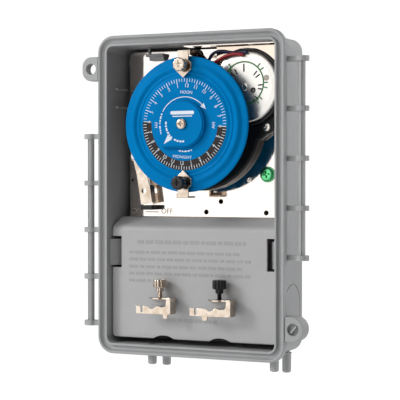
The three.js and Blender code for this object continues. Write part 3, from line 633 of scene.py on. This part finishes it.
def build_plate_screws():
    for name, x, turn in PLATE_SCREWS:
        domed_screw(f"plate_screw_{name}", x, PLATE_SCREW_Z, SEAT, 3.4, 2.0, 1.2, -6.0, turn)
    domed_screw("ground_screw", *GROUND_SCREW, SEAT, 5.0, 3.0, 1.9, -12.0, 8, "green", "ground_green")
    profile = [(4.3, 0), (5.6, 0), (5.6, 0.4), (5.3, 0.7), (4.3, 0.8)]
    collar = lathe("collar", lifted(profile, -SEAT), facing(*GROUND_SCREW), 56)
    piece(collar, "ground_screw_washer", "green")
    profile = [(0, 0), (2.2, 0), (2.15, 0.3), (1.7, 0.65), (1.0, 0.7), (0.8, 0.4), (0, 0.3)]
    rivet = lathe("rivet", lifted(profile, -SEAT), facing(34.2, 11.2), 40)
    piece(rivet, "plate_rivet_head", "steel", "plate_rivet")
    profile = [(2.5, -2.1), (3.2, -2.1), (3.2, -0.05), (4.1, 0), (4.4, 0.3), (4.35, 0.9), (3.9, 1.3),
               (2.9, 1.3), (2.5, 0.9)]
    profile = lifted(profile, -SEAT)
    grommet = lathe("grommet", profile, facing(*GROMMET), 48)
    piece(grommet, "lead_grommet_ring", "black", "lead_grommet")


# ------------------------------------------------------------------ housing, motor and gears
def build_housing():
    h = HOUSING
    dial, motor = facing(DIAL["x"], DIAL["z"]), facing(MOTOR["x"], MOTOR["z"])
    bowl = drum("bowl", h["radius"], -h["back"], -h["front"], dial, 160, rim=1.6)
    seat = drum("seat", h["collar"], -h["back"], -h["collar_front"], motor, 120, rim=0.9)
    outline = [(30, 41.5), (44.8, 38.3), (64, 52.4), (64, 66), (40, 66)]
    cheek = prism("cheek", outline, h["front"], h["back"])
    bevel(cheek, 1.2, 3)
    lug = drum("lug", 4.8, 20.0, 25.0, facing(*HOUSING_SCREWS[0]), 48, rim=0.5)
    join(bowl, seat, cheek, lug)
    rooms = [drum("gears", h["radius"] - 2.6, 0, 23, dial, 120),
             drum("rotor", MOTOR["radius"], 0, 23, motor, 96),
             drum("can", MOTOR["radius"] + 0.3, 24.3, 60, motor, 120),
             drum("dial_bore", 8.6, 0, 60, dial, 64),
             drum("motor_shaft", 2.4, 0, 60, motor, 32),
             prism("cheek", [(38, 46), (46.5, 42.5), (61, 52.5), (61, 62), (46, 62)], -23, 0),
             block("lead_notch", -11, 2, -60, 0, 95.5, 110)]
    rooms += [drum("screw", 1.7, 19, 60, facing(x, z), 24) for x, z in HOUSING_SCREWS]
    cut(bowl, *rooms)
    bevel(bowl, 0.4, 2, 45)
    piece(bowl, "gear_case", "black", "gear_housing")
    for i, (x, z) in enumerate(HOUSING_SCREWS):
        seat = h["front"] - (1.3 if i == 0 else 0.3)
        domed_screw(f"housing_screw_{i + 1}", x, z, seat, 3.0, 1.6, 1.3, -20.3, 20 + 25 * i)


VENT_ANGLES = (48, 35.5, 4, -9, -41, -53, 121, 136, 177, 189, 221, 233)
MOTOR_FACE = 33.0
MOTOR_RING = {"x": 36.7, "z": 78.1, "radius": 14.8}


def build_motor():
    x, z, r, flat = MOTOR["x"], MOTOR["z"], MOTOR["radius"], MOTOR["flat"]
    outer = [(0, 0), (3.2, 0), (12.0, -0.03), (flat - 0.8, -0.08), (flat + 0.4, -0.2), (flat + 1.0, -0.38),
             (r - 2.4, -0.5), (r - 1.2, -0.7), (r - 0.6, -1.1), (r - 0.15, -1.8), (r, -2.8), (r, -8.1),
             (r - 0.3, -8.4), (r - 1, -8.4)]
    inner = [(r - 1, -3.2), (flat + 1, -1.6), (flat - 2, -1.05), (0, -1.05)]
    can = lathe("can", lifted(outer + inner, MOTOR_FACE), facing(x, z), 128)
    eye = facing(x + 6.6, z - 2.6)
    tools = [slab("vent", rounded_rect(10.2, 16.0, -0.55, 0.55, 0.5, 5), 31, 34, facing(x, z) @ spun(91.5))]
    for angle in VENT_ANGLES:
        vent = rounded_rect(10.2, 14.4, -0.5, 0.5, 0.45, 5)
        tools.append(slab("vent", vent, 31, 34, facing(x, z) @ spun(angle)))
    tools.append(drum("hole", 1.2, 31, 35, eye, 32))
    cut(can, *tools)
    bevel(can, 0.12, 2, 50)
    piece(can, "motor_shell", "motor", "motor_can")
    profile = [(0, 0), (2.9, 0), (2.9, 0.5), (2.5, 0.95), (1.5, 1.05), (1.35, 0.6), (0, 0.6)]
    hub = lathe("hub", lifted(profile, MOTOR_FACE - 0.2), facing(x, z), 48)
    piece(hub, "motor_bearing_cap", "steel")
    profile = [(1.15, 0), (1.9, 0), (1.9, 0.45), (1.6, 0.65), (1.25, 0.6), (1.15, 0.4)]
    eyelet = lathe("eyelet", lifted(profile, MOTOR_FACE - 0.2), eye, 40)
    piece(eyelet, "motor_eyelet", "black_metal")


def build_motor_print():
    """The green ring with its marks and a blot, and the grey dab beside them, just proud of the can."""
    place = facing(MOTOR_RING["x"], MOTOR_RING["z"])
    radius = MOTOR_RING["radius"]
    low = MOTOR_FACE - 0.15
    marks = [hoop("ring", radius - 0.5, radius + 0.5, low, 33.08, place, 128)]
    mark = rounded_rect(radius + 0.2, radius + 3.4, -0.45, 0.45, 0.3, 3)
    for angle in (47, 35, 0, -12, -40, -52, 130):
        marks.append(slab("mark", mark, low, 33.06, place @ spun(angle)))
    marks.append(slab("blot", circle(0, 0, 1.3, 20), low, 33.05, facing(26.2, 87.6)))
    piece(join(*marks), "motor_printed_ring", "green_ink")
    dab = drum("dab", 2.1, 32.6, MOTOR_FACE, facing(53.6, 81.3), 40, rim=0.05)
    piece(dab, "motor_test_mark", "grey_ink")


def build_bracket():
    """The bright sheet beside the motor, with two feet bent back to the plate."""
    b = BRACKET
    outline = rounded_rect(b["left"], b["right"], b["bottom"], b["top"], 2.0, 6)
    sheet = prism("sheet", outline, b["front"], b["back"])
    cut(sheet, drum("room", HOUSING["collar"] + 0.3, 20, 40, facing(MOTOR["x"], MOTOR["z"]), 120))
    feet = [block("foot", left, left + b["foot"], b["front"], SEAT, b["top"] - 1.0, b["top"])
            for left in (b["left"] + 0.01, b["right"] - b["foot"] - 0.01)]
    join(sheet, *feet)
    bevel(sheet, 0.15, 2, 45)
    piece(sheet, "motor_side_plate", "sheet", "motor_bracket")


ROCKER_TOP = -17.6
TERMINALS = {"count": 4, "left": -34.5, "pitch": 23.0, "z": -79.0}
WORKS = (("dial_post", "dial_spindle", "steel", "steel", 0.25),
         ("dial_gear", "dial_wheel", "brass", "brass", 0.12, 1, "dial"),
         ("idler_pin", "idler_axle", "steel", "steel", 0.2),
         ("reduction_gear", "idler_wheel", "brass", "brass", 0.12, 1, "idler"),
         ("motor_rotor", "rotor_and_pinion", "steel", "steel", 0.15, 1, "rotor"),
         ("motor_coil", "coil_winding", "copper", "copper", 0.8, 3),
         ("switch_base", "switch_moulding", "black", "black_plastic", 0.5),
         ("switch_rocker", "switch_arm", "black", "black_plastic", 0.4, 2, "rocker"),
         ("rocker_blade", "moving_contact", "brass", "brass", 0.12, 2, "rocker"),
         ("fixed_contact", "fixed_contact_strip", "brass", "brass", 0.2),
         ("terminal_block", "terminal_moulding", "black", "black_plastic", 0.4))


def build_hidden_works():
    """The drive train, switch and terminals: their working shapes with rounded edges."""
    made = {work[0]: refined(*work) for work in WORKS}
    cut(made["switch_rocker"], block("above", -60, -20, -40, 0, ROCKER_TOP, 10))
    for i in range(TERMINALS["count"]):
        refined(f"terminal_tab_{i + 1}", f"terminal_strip_{i + 1}", "brass", "brass", 0.2)
        x = TERMINALS["left"] + TERMINALS["pitch"] * i
        domed_screw(f"terminal_screw_{i + 1}", x, TERMINALS["z"], -24.4, 3.6, 2.2, 1.6, -19.3, 15 + 40 * i,
                    "brass")


# ------------------------------------------------------------------ leads
def route(points):
    """A smooth centripetal curve through the points."""
    steps = 10
    pts = [Vector(p) for p in points]
    pts = [2 * pts[0] - pts[1]] + pts + [2 * pts[-1] - pts[-2]]
    curve = []
    for a, b, c, d in zip(pts, pts[1:], pts[2:], pts[3:]):
        t = [0.0]
        for p, q in ((a, b), (b, c), (c, d)):
            t.append(t[-1] + max((q - p).length, 1e-4) ** 0.5)
        for i in range(steps):
            s = t[1] + (t[2] - t[1]) * i / steps
            a1 = a.lerp(b, (s - t[0]) / (t[1] - t[0]))
            a2 = b.lerp(c, (s - t[1]) / (t[2] - t[1]))
            a3 = c.lerp(d, (s - t[2]) / (t[3] - t[2]))
            b1 = a1.lerp(a2, (s - t[0]) / (t[2] - t[0]))
            b2 = a2.lerp(a3, (s - t[1]) / (t[3] - t[1]))
            curve.append(b1.lerp(b2, (s - t[1]) / (t[2] - t[1])))
    return curve + [pts[-2]]


def tube(name, path, radius, sides=16):
    """A round tube along a path, its rings turned as little as possible from one to the next."""
    rings = []
    side = (path[1] - path[0]).cross(Vector((0.3, 1, 0.2))).normalized()
    for i, point in enumerate(path):
        along = (path[min(i + 1, len(path) - 1)] - path[max(i - 1, 0)]).normalized()
        side = (side - along * side.dot(along)).normalized()
        other = along.cross(side)
        rings.append([point + radius * (math.cos(t) * side + math.sin(t) * other)
                      for t in (2 * math.pi * k / sides for k in range(sides))])
    return loft(name, rings)


LEAD_RADIUS = 1.15
RED_LEAD = [(36.8, -34.4, 97.6), (33, -34.8, 98.4), (28, -34.8, 98.2), (23.5, -34.2, 97.2),
            (18.5, -33, 95.2), (12, -32, 92.6), (5, -31, 92.2), (-1, -29, 94.6), (-4.2, -26.5, 98),
            (-5.05, -23, 100), (-5.05, -20, 100.2), (-5.05, -16, 100.2), (-5.05, -12, 98.6), (-5.4, -9, 93),
            (-9, -9, 40), (-12, -9, -20), (-19, -9, -52), (-22.7, -12, -60.4), (-22.7, -18, -61),
            (-17, -23.5, -59.4), (-12.2, -25.6, -59.6), (-11.5, -25.7, -62), (-11.5, -25.7, -73.6)]
BLUE_LEAD = [(39.8, -34.4, 99.4), (34, -33.4, 99.6), (27.6, -33.2, 99.6), (21.7, -33, 100.8),
             (15.9, -32.6, 100.6), (11.6, -31.6, 98.6), (8.6, -30.6, 95), (3, -29, 93.4), (-3, -27, 95),
             (-6.6, -23.5, 98.8), (-7.35, -20.5, 100), (-7.35, -17.5, 100.2), (-7.35, -14.8, 100.1),
             (-8, -10, 97), (-8.4, -8, 92), (-12, -8, 40), (-15, -8, -20), (-22, -8, -50),
             (-25.4, -12, -60.2), (-25.4, -18, -61), (-29, -23.4, -59.8), (-33.6, -25.6, -59.6),
             (-34.5, -25.7, -62), (-34.5, -25.7, -73.6)]


def build_leads():
    for color, points in (("red", RED_LEAD), ("blue", BLUE_LEAD)):
        lead = tube(f"{color}_lead", route(points), LEAD_RADIUS)
        piece(lead, f"{color}_lead", f"{color}_wire", f"motor_lead_{color}")


# ------------------------------------------------------------------ dial
def text_mesh(words, size, matrix, thick=0.06):
    """Flat raised lettering about its own centre, in its own XY plane."""
    curve = bpy.data.curves.new("words", "FONT")
    curve.body = words
    curve.size = size
    curve.extrude = thick / 2
    curve.align_x = "CENTER"
    curve.align_y = "CENTER"
    curve.resolution_u = 3
    holder = link(bpy.data.objects.new("words", curve))
    data = bpy.data.meshes.new_from_object(holder.evaluated_get(bpy.context.evaluated_depsgraph_get()))
    bpy.data.objects.remove(holder)
    middle = (max(v.co.y for v in data.vertices) + min(v.co.y for v in data.vertices)) / 2
    data.transform(Matrix.Scale(MM, 4) @ matrix @ Matrix.Translation((0, -middle, 0)))
    return link(bpy.data.objects.new("words", data))


def gather(name, objects):
    """Several separate closed solids as one piece."""
    bm = bmesh.new()
    for obj in objects:
        bm.from_mesh(obj.data)
        bpy.data.objects.remove(obj)
    data = bpy.data.meshes.new(name)
    bm.to_mesh(data)
    bm.free()
    return link(bpy.data.objects.new(name, data))


def band(radius, width, start, end, low, high, matrix):
    """A flat strip along an arc about the matrix's own Z, angles in degrees."""
    steps = max(4, int(abs(end - start) / 3))
    outline = arc(0, 0, radius + width / 2, start, end, steps)
    outline += arc(0, 0, radius - width / 2, end, start, steps)
    return slab("band", outline, low, high, matrix)


NOON_ANGLE = 86.0
PRINT_LOW, PRINT_HIGH = -DIAL["face"] - 0.04, -DIAL["face"] + 0.05
DIAL_DASHES = ((156, 160), (162, 168), (170, 174), (176, 179), (183, 189), (191, 194), (196, 201), (203, 207),
               (257, 262), (264, 268), (270, 276), (278, 283), (285, 288))
HUB_DASHES = ((172, 181), (184, 190), (193, 203), (206, 214), (217, 222), (225, 232), (241, 248), (251, 259),
              (262, 269), (272, 279))


def radial(angle):
    """The dial's own frame, its X at this angle."""
    return facing(DIAL["x"], DIAL["z"]) @ spun(angle)


def dial_text(words, size, angle, out, turn):
    """Print at a radius on the dial, turned about its own centre."""
    return text_mesh(words, size, radial(angle) @ Matrix.Translation((out, 0, PRINT_HIGH)) @ spun(turn))


def dial_scale():
    """Ticks each quarter hour, hour numbers, and the words for noon, midnight and the two halves."""
    marks = []
    for quarter in range(96):
        inner, half = (28.3, 0.22) if quarter % 4 == 0 else (29.6, 0.17)
        tick = [(inner, -half), (32.0, -half), (32.0, half), (inner, half)]
        marks.append(slab("tick", tick, PRINT_LOW, PRINT_HIGH + 0.03, radial(NOON_ANGLE + quarter * 3.75)))
    for hour in range(24):
        out, turn = (27.1, 90) if 6 <= hour <= 18 else (27.0, -90)
        marks.append(dial_text(str((hour - 1) % 12 + 1), 3.5, NOON_ANGLE + hour * 15.0, out, turn))
    marks.append(dial_text("NOON", 3.0, NOON_ANGLE, 22.3, -90))
    marks.append(dial_text("MIDNIGHT", 3.0, NOON_ANGLE + 180, 22.9, 90))
    marks.append(dial_text("AM", 3.2, -3, 22.4, 90))
    marks.append(dial_text("PM", 3.2, 181, 22.0, 90))
    marks.append(band(19.0, 0.6, 44, 152, PRINT_LOW, PRINT_HIGH, radial(0)))
    marks.append(slab("head", [(17.2, 0), (20.8, 0), (19.0, -4.2)], PRINT_LOW, PRINT_HIGH, radial(44)))
    marks += [band(19.0, 1.0, start, end, PRINT_LOW, PRINT_HIGH, radial(0)) for start, end in DIAL_DASHES]
    return marks


def build_dial():
    profile = [(8.4, -0.3), (8.7, 0), (32.6, 0), (33.2, -0.12), (34.2, -0.75), (34.8, -0.9), (35.2, -0.72),
               (35.6, -0.5), (36.0, -0.42), (36.4, -0.52), (36.9, -0.9), (37.3, -1.0), (37.9, -0.8),
               (38.8, -0.05), (39.5, 0.4), (40.2, 0.5), (40.9, 0.38), (41.7, -0.2), (42.7, -1.25),
               (43.4, -1.6), (44.4, -1.78), (46.2, -1.9), (46.9, -2.05), (47.4, -2.4), (47.6, -2.9),
               (47.5, -3.2), (47.2, -3.3), (44.2, -3.3), (38, -2.8), (16.4, -3.8), (8.4, -3.8)]
    profile = lifted(profile, -DIAL["face"])
    disc = lathe("dial", profile, facing(DIAL["x"], DIAL["z"]), 224)
    piece(disc, "dial_disc", "blue", "dial", "dial")
    night = band(29.0, 6.8, NOON_ANGLE + 89.5, NOON_ANGLE + 270.5, PRINT_LOW, PRINT_HIGH, radial(0))
    piece(night, "dial_night_band", "black_ink", body="dial")
    piece(gather("scale", dial_scale()), "dial_scale_print", "white_ink", body="dial")


def hub_outline(radius):
    """A circle with one square corner, the pointer, low on its left."""
    x, z, corner = DIAL["x"], DIAL["z"], 0.6
    tip = arc(x - radius + corner, z - radius + corner, corner, 180, 270, 5)
    return tip + arc(x, z, radius, -90, 180, 72)


def build_hub():
    base = prism("hub", hub_outline(16.5), -51.2, -48.4)
    bevel(base, 0.3)
    raised = prism("hub", hub_outline(15.7), -52.2, -50.0)
    bevel(raised, 0.45, 3)
    join(base, raised)
    cut(base, drum("hole", 1.9, 0, 60, facing(DIAL["x"], DIAL["z"]), 40))
    piece(base, "hub_moulding", "blue", "pointer_hub")
    place = facing(DIAL["x"], DIAL["z"])
    low, high = 52.15, 52.25
    marks = [slab("pointer", [(-13.9, -13.9), (-7.4, -10.6), (-10.6, -7.4)], low, high, place),
             slab("bar", rounded_rect(-8.6, 9.4, 6.6, 9.0, 0.8, 4), low, high, place),
             slab("bar", rounded_rect(-7.2, 8.0, 5.0, 5.7, 0.3, 4), low, high, place)]
    marks += [band(12.2, 1.2, start, end, low, high, place) for start, end in HUB_DASHES]
    piece(gather("hub_marks", marks), "hub_print", "white_ink")
    domed_screw("hub_screw", DIAL["x"], DIAL["z"], -52.5, 3.75, 2.0, 1.5, -43.5, 2, "clip")


# ------------------------------------------------------------------ trippers
def on_dial(angle):
    """A tripper's own frame on the dial: X outwards, Y round the dial, Z out of its face."""
    t = math.radians(angle)
    out, along = Vector((0, -1, 0)), Vector((math.cos(t), 0, math.sin(t)))
    around = out.cross(along)
    place = Matrix((along, around, out)).transposed().to_4x4()
    place.translation = (DIAL["x"], CLIP_SEAT, DIAL["z"])
    return place


def on_cover(x):
    return Matrix.Translation((x, SPARE["y"], SPARE["seat"]))


def upright(name, outline, y0, y1, place):
    """An outline of (x, z) points in the tripper's own frame, run from y0 to y1."""
    return loft(name, [[(x, y, z) for x, z in outline] for y in (y0, y1)], place)


def build_clip(name, on, place, body):
    """Bent spring-steel clip: pointed leg, outer strap, and a notched flange with its foot, slit and arm."""
    tip, shoulder, neck, outer, broad, arm = 32.2, 38.0, 43.5, 51.5, 6.3, 4.1
    side = [(shoulder, broad), (neck - 0.6, broad), (neck + 0.5, arm), (outer - 0.2, arm)]
    leg = slab("leg", [(tip, 0)] + [(x, -y) for x, y in side] + side[::-1], 0, 1.2, place)
    bevel(leg, 0.22)
    bend = [(-1.2, -10.4), (0, -10.4), (0, 0.5), (-0.35, 1.0), (-0.9, 1.2), (-2.2, 1.2), (-1.2, 0.0)]
    strap = upright("strap", [(outer + x, z) for x, z in bend], -arm, arm, place)
    bevel(strap, 0.2)
    inner, dip, foot = (24.5, 37.0, (45.6, 49.4)) if on else (20.5, 36.0, (29.9, 34.1))
    top, low = -4.9, -10.4
    edge = [(inner, low), (inner, top - 0.2), (inner + 3.7, top - 0.2), (inner + 3.7, low + 0.9),
            (inner + 5.2, low + 0.9), (inner + 5.2, top - 0.3), (inner + 6.6, top)]
    edge += [(dip + x, top + z) for x, z in ((-4.4, -0.1), (-2.6, -0.5), (-1.1, -1.8), (1.1, -1.8),
                                             (2.4, -0.7), (4.2, 0.5), (5.4, 0.2), (7.4, -0.6))]
    edge += [(47.2, top - 0.2), (47.9, top + 1.2), (48.1, -1.2), (48.3, 1.0), (outer, 1.0),
             (outer, low + 1.6), (outer - 0.5, low + 0.5), (outer - 1.6, low)]
    half = [(0, 0), (-0.2, -2.4), (-0.8, -2.9)] if on else [(0.3, 0), (0, -0.3), (-0.1, -2.4), (-0.7, -2.9)]
    edge += [(foot[1] + x, low + z) for x, z in half] + [(foot[0] - x, low + z) for x, z in half[::-1]]
    flange = upright("flange", edge, -arm - 1.2, -arm + 0.02, place)
    bevel(flange, 0.2)
    join(leg, strap, flange)
    cut(leg, drum("hole", 1.9, -2, 3, place @ Matrix.Translation((CLIP_HOLE, 0, 0)), 32))
    piece(leg, name, "clip", f"{body}_clip", body)


def fluted_ring(radius, depth, flutes, z):
    """A ring of rounded lobes parted by narrow grooves."""
    points = []
    steps = 10
    for i in range(flutes * steps):
        t = 2 * math.pi * i / (flutes * steps)
        lobe = abs(math.cos(flutes * t / 2)) ** 0.55
        r = radius - depth * (1 - lobe)
        points.append((r * math.cos(t), r * math.sin(t), z))
    return points


def build_thumb_screw(name, on, place, lift, length, body):
    """Thumb screw: fluted head with a Phillips recess, collar, and threaded shank."""
    look, slot = ("clip", "clip_nickel") if on else ("black_metal", "black_screw")
    base = 1.2 + lift
    neck_top = base + 0.3 * length
    top = base + length
    radius, depth, flutes = 4.9, 0.75, 9
    heights = [(neck_top, 0.9, 0.3), (neck_top + 0.25, 0.3, 0.8), (neck_top + 0.8, 0, 1), (top - 1.0, 0, 1),
               (top - 0.35, 0.25, 0.9), (top - 0.05, 0.8, 0.5), (top, 1.3, 0.2)]
    matrix = place @ Matrix.Translation((CLIP_HOLE, 0, 0))
    lobes = [fluted_ring(radius - less, depth * share, flutes, z) for z, less, share in heights]
    head = loft("head", lobes, matrix)
    neck = loft("neck", [fluted_ring(2.9, 0.5, 6, z) for z in (base, neck_top + 0.2)], matrix)
    shank_profile = [(0, -0.2), (1.2, -0.2), (1.5, 0.1)]
    z = 0.3
    while z < base - 0.3:
        shank_profile += [(1.6, z), (1.28, z + 0.2), (1.6, z + 0.4)]
        z += 0.45
    shank_profile += [(1.5, base), (1.5, base + 0.5), (0, base + 0.5)]
    shank = lathe("shank", shank_profile, matrix, 28)
    join(head, neck, shank)
    cut(head, cross_cutter(2.9, 0.55, 1.2, matrix @ Matrix.Translation((0, 0, top))))
    bevel(head, 0.1, 1, 45)
    piece(head, name, look, f"{body}_screw", f"{body}_knob")


def build_trippers():
    """The ON pair is bright, the OFF pair has black screws; the spares sit on the cover."""
    spare_on, spare_off = on_cover(SPARE["on_x"]), on_cover(SPARE["off_x"])
    for body, clip, screw, place, lift, length in (
            ("tripper_on", "on_clip", "on_thumb_screw", on_dial(90), 0.8, 6.5),
            ("tripper_off", "off_clip", "off_thumb_screw", on_dial(-90), 1.2, 8.8),
            ("spare_on", "spare_on_clip_bright", "spare_on_thumb_screw", spare_on, 4.4, 8.2),
            ("spare_off", "spare_off_clip_bright", "spare_off_thumb_screw", spare_off, 4.4, 9.2)):
        on = body.endswith("_on")
        build_clip(clip, on, place, body)
        build_thumb_screw(screw, on, place, lift, length, body)


# ------------------------------------------------------------------ trip lever
def build_lever():
    refined("trip_lever", "lever_arm", "clip", "clip_nickel", 0.25, body="lever")
    refined("lever_shoe", "lever_slider", "black", "black_plastic", 0.4, body="lever")
    profile = [(0, 0), (2.8, 0), (2.8, 1.0), (1.6, 1.1), (1.6, 9.6), (2.8, 10.0), (2.8, 11.4), (2.3, 11.85),
               (0, 11.9)]
    pin = lathe("pin", lifted(profile, -SEAT), facing(LEVER["x"], LEVER["z"]), 48)
    piece(pin, "lever_pivot", "steel", "lever_pin")
    coil = []
    turns, steps, radius, front, length = 6, 28, 2.75, -25.0, 5.9
    for i in range(turns * steps + 1):
        t = 2 * math.pi * i / steps
        coil.append(Vector((LEVER["x"] + radius * math.cos(t), front + length * i / (turns * steps),
                            LEVER["z"] + radius * math.sin(t))))
    piece(tube("spring", coil, 0.42, 10), "lever_coil_spring", "steel", "lever_spring")


# ------------------------------------------------------------------ dead-front cover
def cover_profile(inset=0.0):
    """The cover's side view as (y, z): flat front, rounded shoulder, slope to the plate."""
    front = COVER["front"] + inset
    low = COVER["bottom"] - (6 if inset else 0)
    slope_back = (-23.5 + 3 * inset, -15.2 - 1.1 * inset) if inset else (-23.5, -16.0)
    points = [(front, low)]
    face_top = COVER["face_top"]
    bend = ((front, face_top - 3.0), (front + 0.1, face_top + 0.2 - 0.9 * inset),
            (front + 3.4, face_top + 1.8 - inset))
    for i in range(9):
        t = i / 8
        points.append(tuple((1 - t) ** 2 * a + 2 * t * (1 - t) * b + t * t * c for a, b, c in zip(*bend)))
    points += [(-25.0, -16.0 - 1.1 * inset), slope_back, (-23.5 + 3 * inset, low)]
    return points


def dash_rows():
    """Short raised dashes where the cover is embossed, each as (left, right, z, height)."""
    rows = [(-43.9, 41.0, -33.6, 2.6), (-50.4, 36.0, -41.0, 2.0), (-50.4, 44.5, -46.0, 2.0),
            (-50.4, 38.5, -51.2, 2.0), (-50.4, 45.5, -56.2, 2.0), (-50.4, -33.0, -61.3, 2.0),
            (-20.7, 19.1, -88.6, 2.6)]
    dashes = []
    for row, (left, right, z, height) in enumerate(rows):
        x, k = left, 0
        while x < right - 1.5:
            length = 2.2 + 5.4 * abs(math.sin(1.7 * k + 2.3 * row + 0.6))
            end = min(x + length, right)
            dashes.append((x, end, z, height))
            x = end + 1.3
            k += 1
    return dashes


def build_cover():
    half, low, corner, wall = COVER["half_w"], COVER["bottom"], 4.2, 2.2
    body = run_along_x("cover", cover_profile(), -half, half)
    bevel(body, 0.9, 3, 50)
    corner_tools = []
    for side in (-1, 1):
        x0, x1 = sorted((side * (half + 3), side * 56.5))
        corner_tools.append(block("notch", x0, x1, -50, 0, -52.2, -29.7))
        wedge = [(half + 1, low - 1), (half - corner, low - 1)]
        wedge += arc(half - corner, low + corner, corner, -90, 0, 8) + [(half + 1, low + corner)]
        wedge = [(side * x, z) for x, z in wedge]
        corner_tools.append(prism("corner", wedge, -50, 0))
    cut(body, run_along_x("hollow", cover_profile(wall), -half + wall, half - wall))
    cut(body, *corner_tools)
    cut(body, *[prism("moon", circle(x, low - 12.4, 15, 96), -50, -30) for x in (-22.8, 21.1)])
    seat = SPARE["seat"]
    join(body, *[block("tab", x + 34, x + 49.6, -45.4, COVER["front"] + 1, seat - 4.6, seat - 0.5)
                 for x in (SPARE["on_x"], SPARE["off_x"])])
    bevel(body, 0.3, 2, 40)
    piece(body, "cover_moulding", "cover", "dead_front_cover", "cover")
    front = -COVER["front"]
    dashes = []
    for x0, x1, z, height in dash_rows():
        outline = rounded_rect(x0, x1, z - height / 2, z + height / 2, 0.6, 3)
        dashes.append(bevel(slab("dash", outline, front - 0.1, front + 0.2, facing(0, 0)), 0.08, 1))
    piece(gather("dashes", dashes), "cover_embossed_rows", "emboss", body="cover")


def build_plate_print():
    """The two switch positions, and a line between them."""
    marks = [text_mesh(words, 5.4, facing(x, -11.9, PLATE["front"] - 0.06), 0.12)
             for words, x in (("ON", -55.6), ("OFF", -30.8))]
    line = rounded_rect(-48.5, -37.4, -12.9, -12.3, 0.25, 3)
    marks.append(slab("line", line, 16.95, 17.12, facing(0, 0)))
    piece(gather("plate_marks", marks), "plate_print", "grey_ink")


# ------------------------------------------------------------------ studio
def studio():
    """White backdrop and pale floor, a little ambient light, and six soft boxes (places in metres)."""
    world = bpy.data.worlds.new("studio")
    world.use_nodes = True
    scene.world = world
    tree = world.node_tree
    tree.nodes.clear()
    output = tree.nodes.new("ShaderNodeOutputWorld")
    light = tree.nodes.new("ShaderNodeBackground")
    backdrop = tree.nodes.new("ShaderNodeBackground")
    backdrop.inputs["Color"].default_value = (1.0, 1.0, 1.0, 1.0)
    backdrop.inputs["Strength"].default_value = 1.05
    light.inputs["Color"].default_value = (1.0, 0.96, 0.93, 1.0)
    light.inputs["Strength"].default_value = 0.22
    chooser = tree.nodes.new("ShaderNodeMixShader")
    seen = tree.nodes.new("ShaderNodeLightPath")
    tree.links.new(seen.outputs["Is Camera Ray"], chooser.inputs[0])
    tree.links.new(light.outputs[0], chooser.inputs[1])
    tree.links.new(backdrop.outputs[0], chooser.inputs[2])
    tree.links.new(chooser.outputs[0], output.inputs["Surface"])

    corners = [(x, y, -900) for x, y in ((-4000, -4000), (4000, -4000), (4000, 4000), (-4000, 4000))]
    floor = solid("floor", corners, [(0, 1, 2, 3)])
    s = Shader("pale_floor")
    glow = s.ramp(s.node("ShaderNodeLightPath").outputs["Is Camera Ray"], 0.0, 1.0, 0.05, 0.95)
    s.feed(s.bsdf.inputs["Emission Strength"], glow)
    floor.data.materials.append(s.finish(rgb(244, 244, 244), 0.9, Emission_Color=(1, 1, 1, 1)))

    warm, white = (1.0, 0.985, 0.965), (1.0, 1.0, 1.0)
    for name, place, size, power, color in (("key", (-0.80, -1.55, 0.35), 2.2, 19.5, warm),
                                            ("spot", (-1.35, -1.25, 0.85), 0.45, 14.0, white),
                                            ("top", (0.1, -0.2, 1.7), 0.9, 4.0, white),
                                            ("right", (1.7, 0.55, 0.1), 1.2, 13.0, white),
                                            ("left", (-1.7, 0.6, 0.3), 1.2, 9.0, white),
                                            ("back", (0.3, 2.0, 0.6), 1.4, 9.0, white)):
        data = bpy.data.lights.new(name, "AREA")
        data.shape = "RECTANGLE"
        data.size = size
        data.size_y = size
        data.energy = power
        data.color = color
        lamp = link(bpy.data.objects.new(name, data))
        lamp.location = place
        lamp.rotation_euler = (-Vector(place)).to_track_quat("-Z", "Y").to_euler()
    scene.view_settings.view_transform = "Standard"


build_enclosure()
build_legs()
build_rail("left", -1)
build_rail("right", 1)
build_ear()
build_boss()
build_plate()
build_plate_print()
build_plate_screws()
build_housing()
build_motor()
build_motor_print()
build_bracket()
build_hidden_works()
build_leads()
build_dial()
build_hub()
build_trippers()
build_lever()
build_cover()
studio()

bpy.context.view_layer.update()
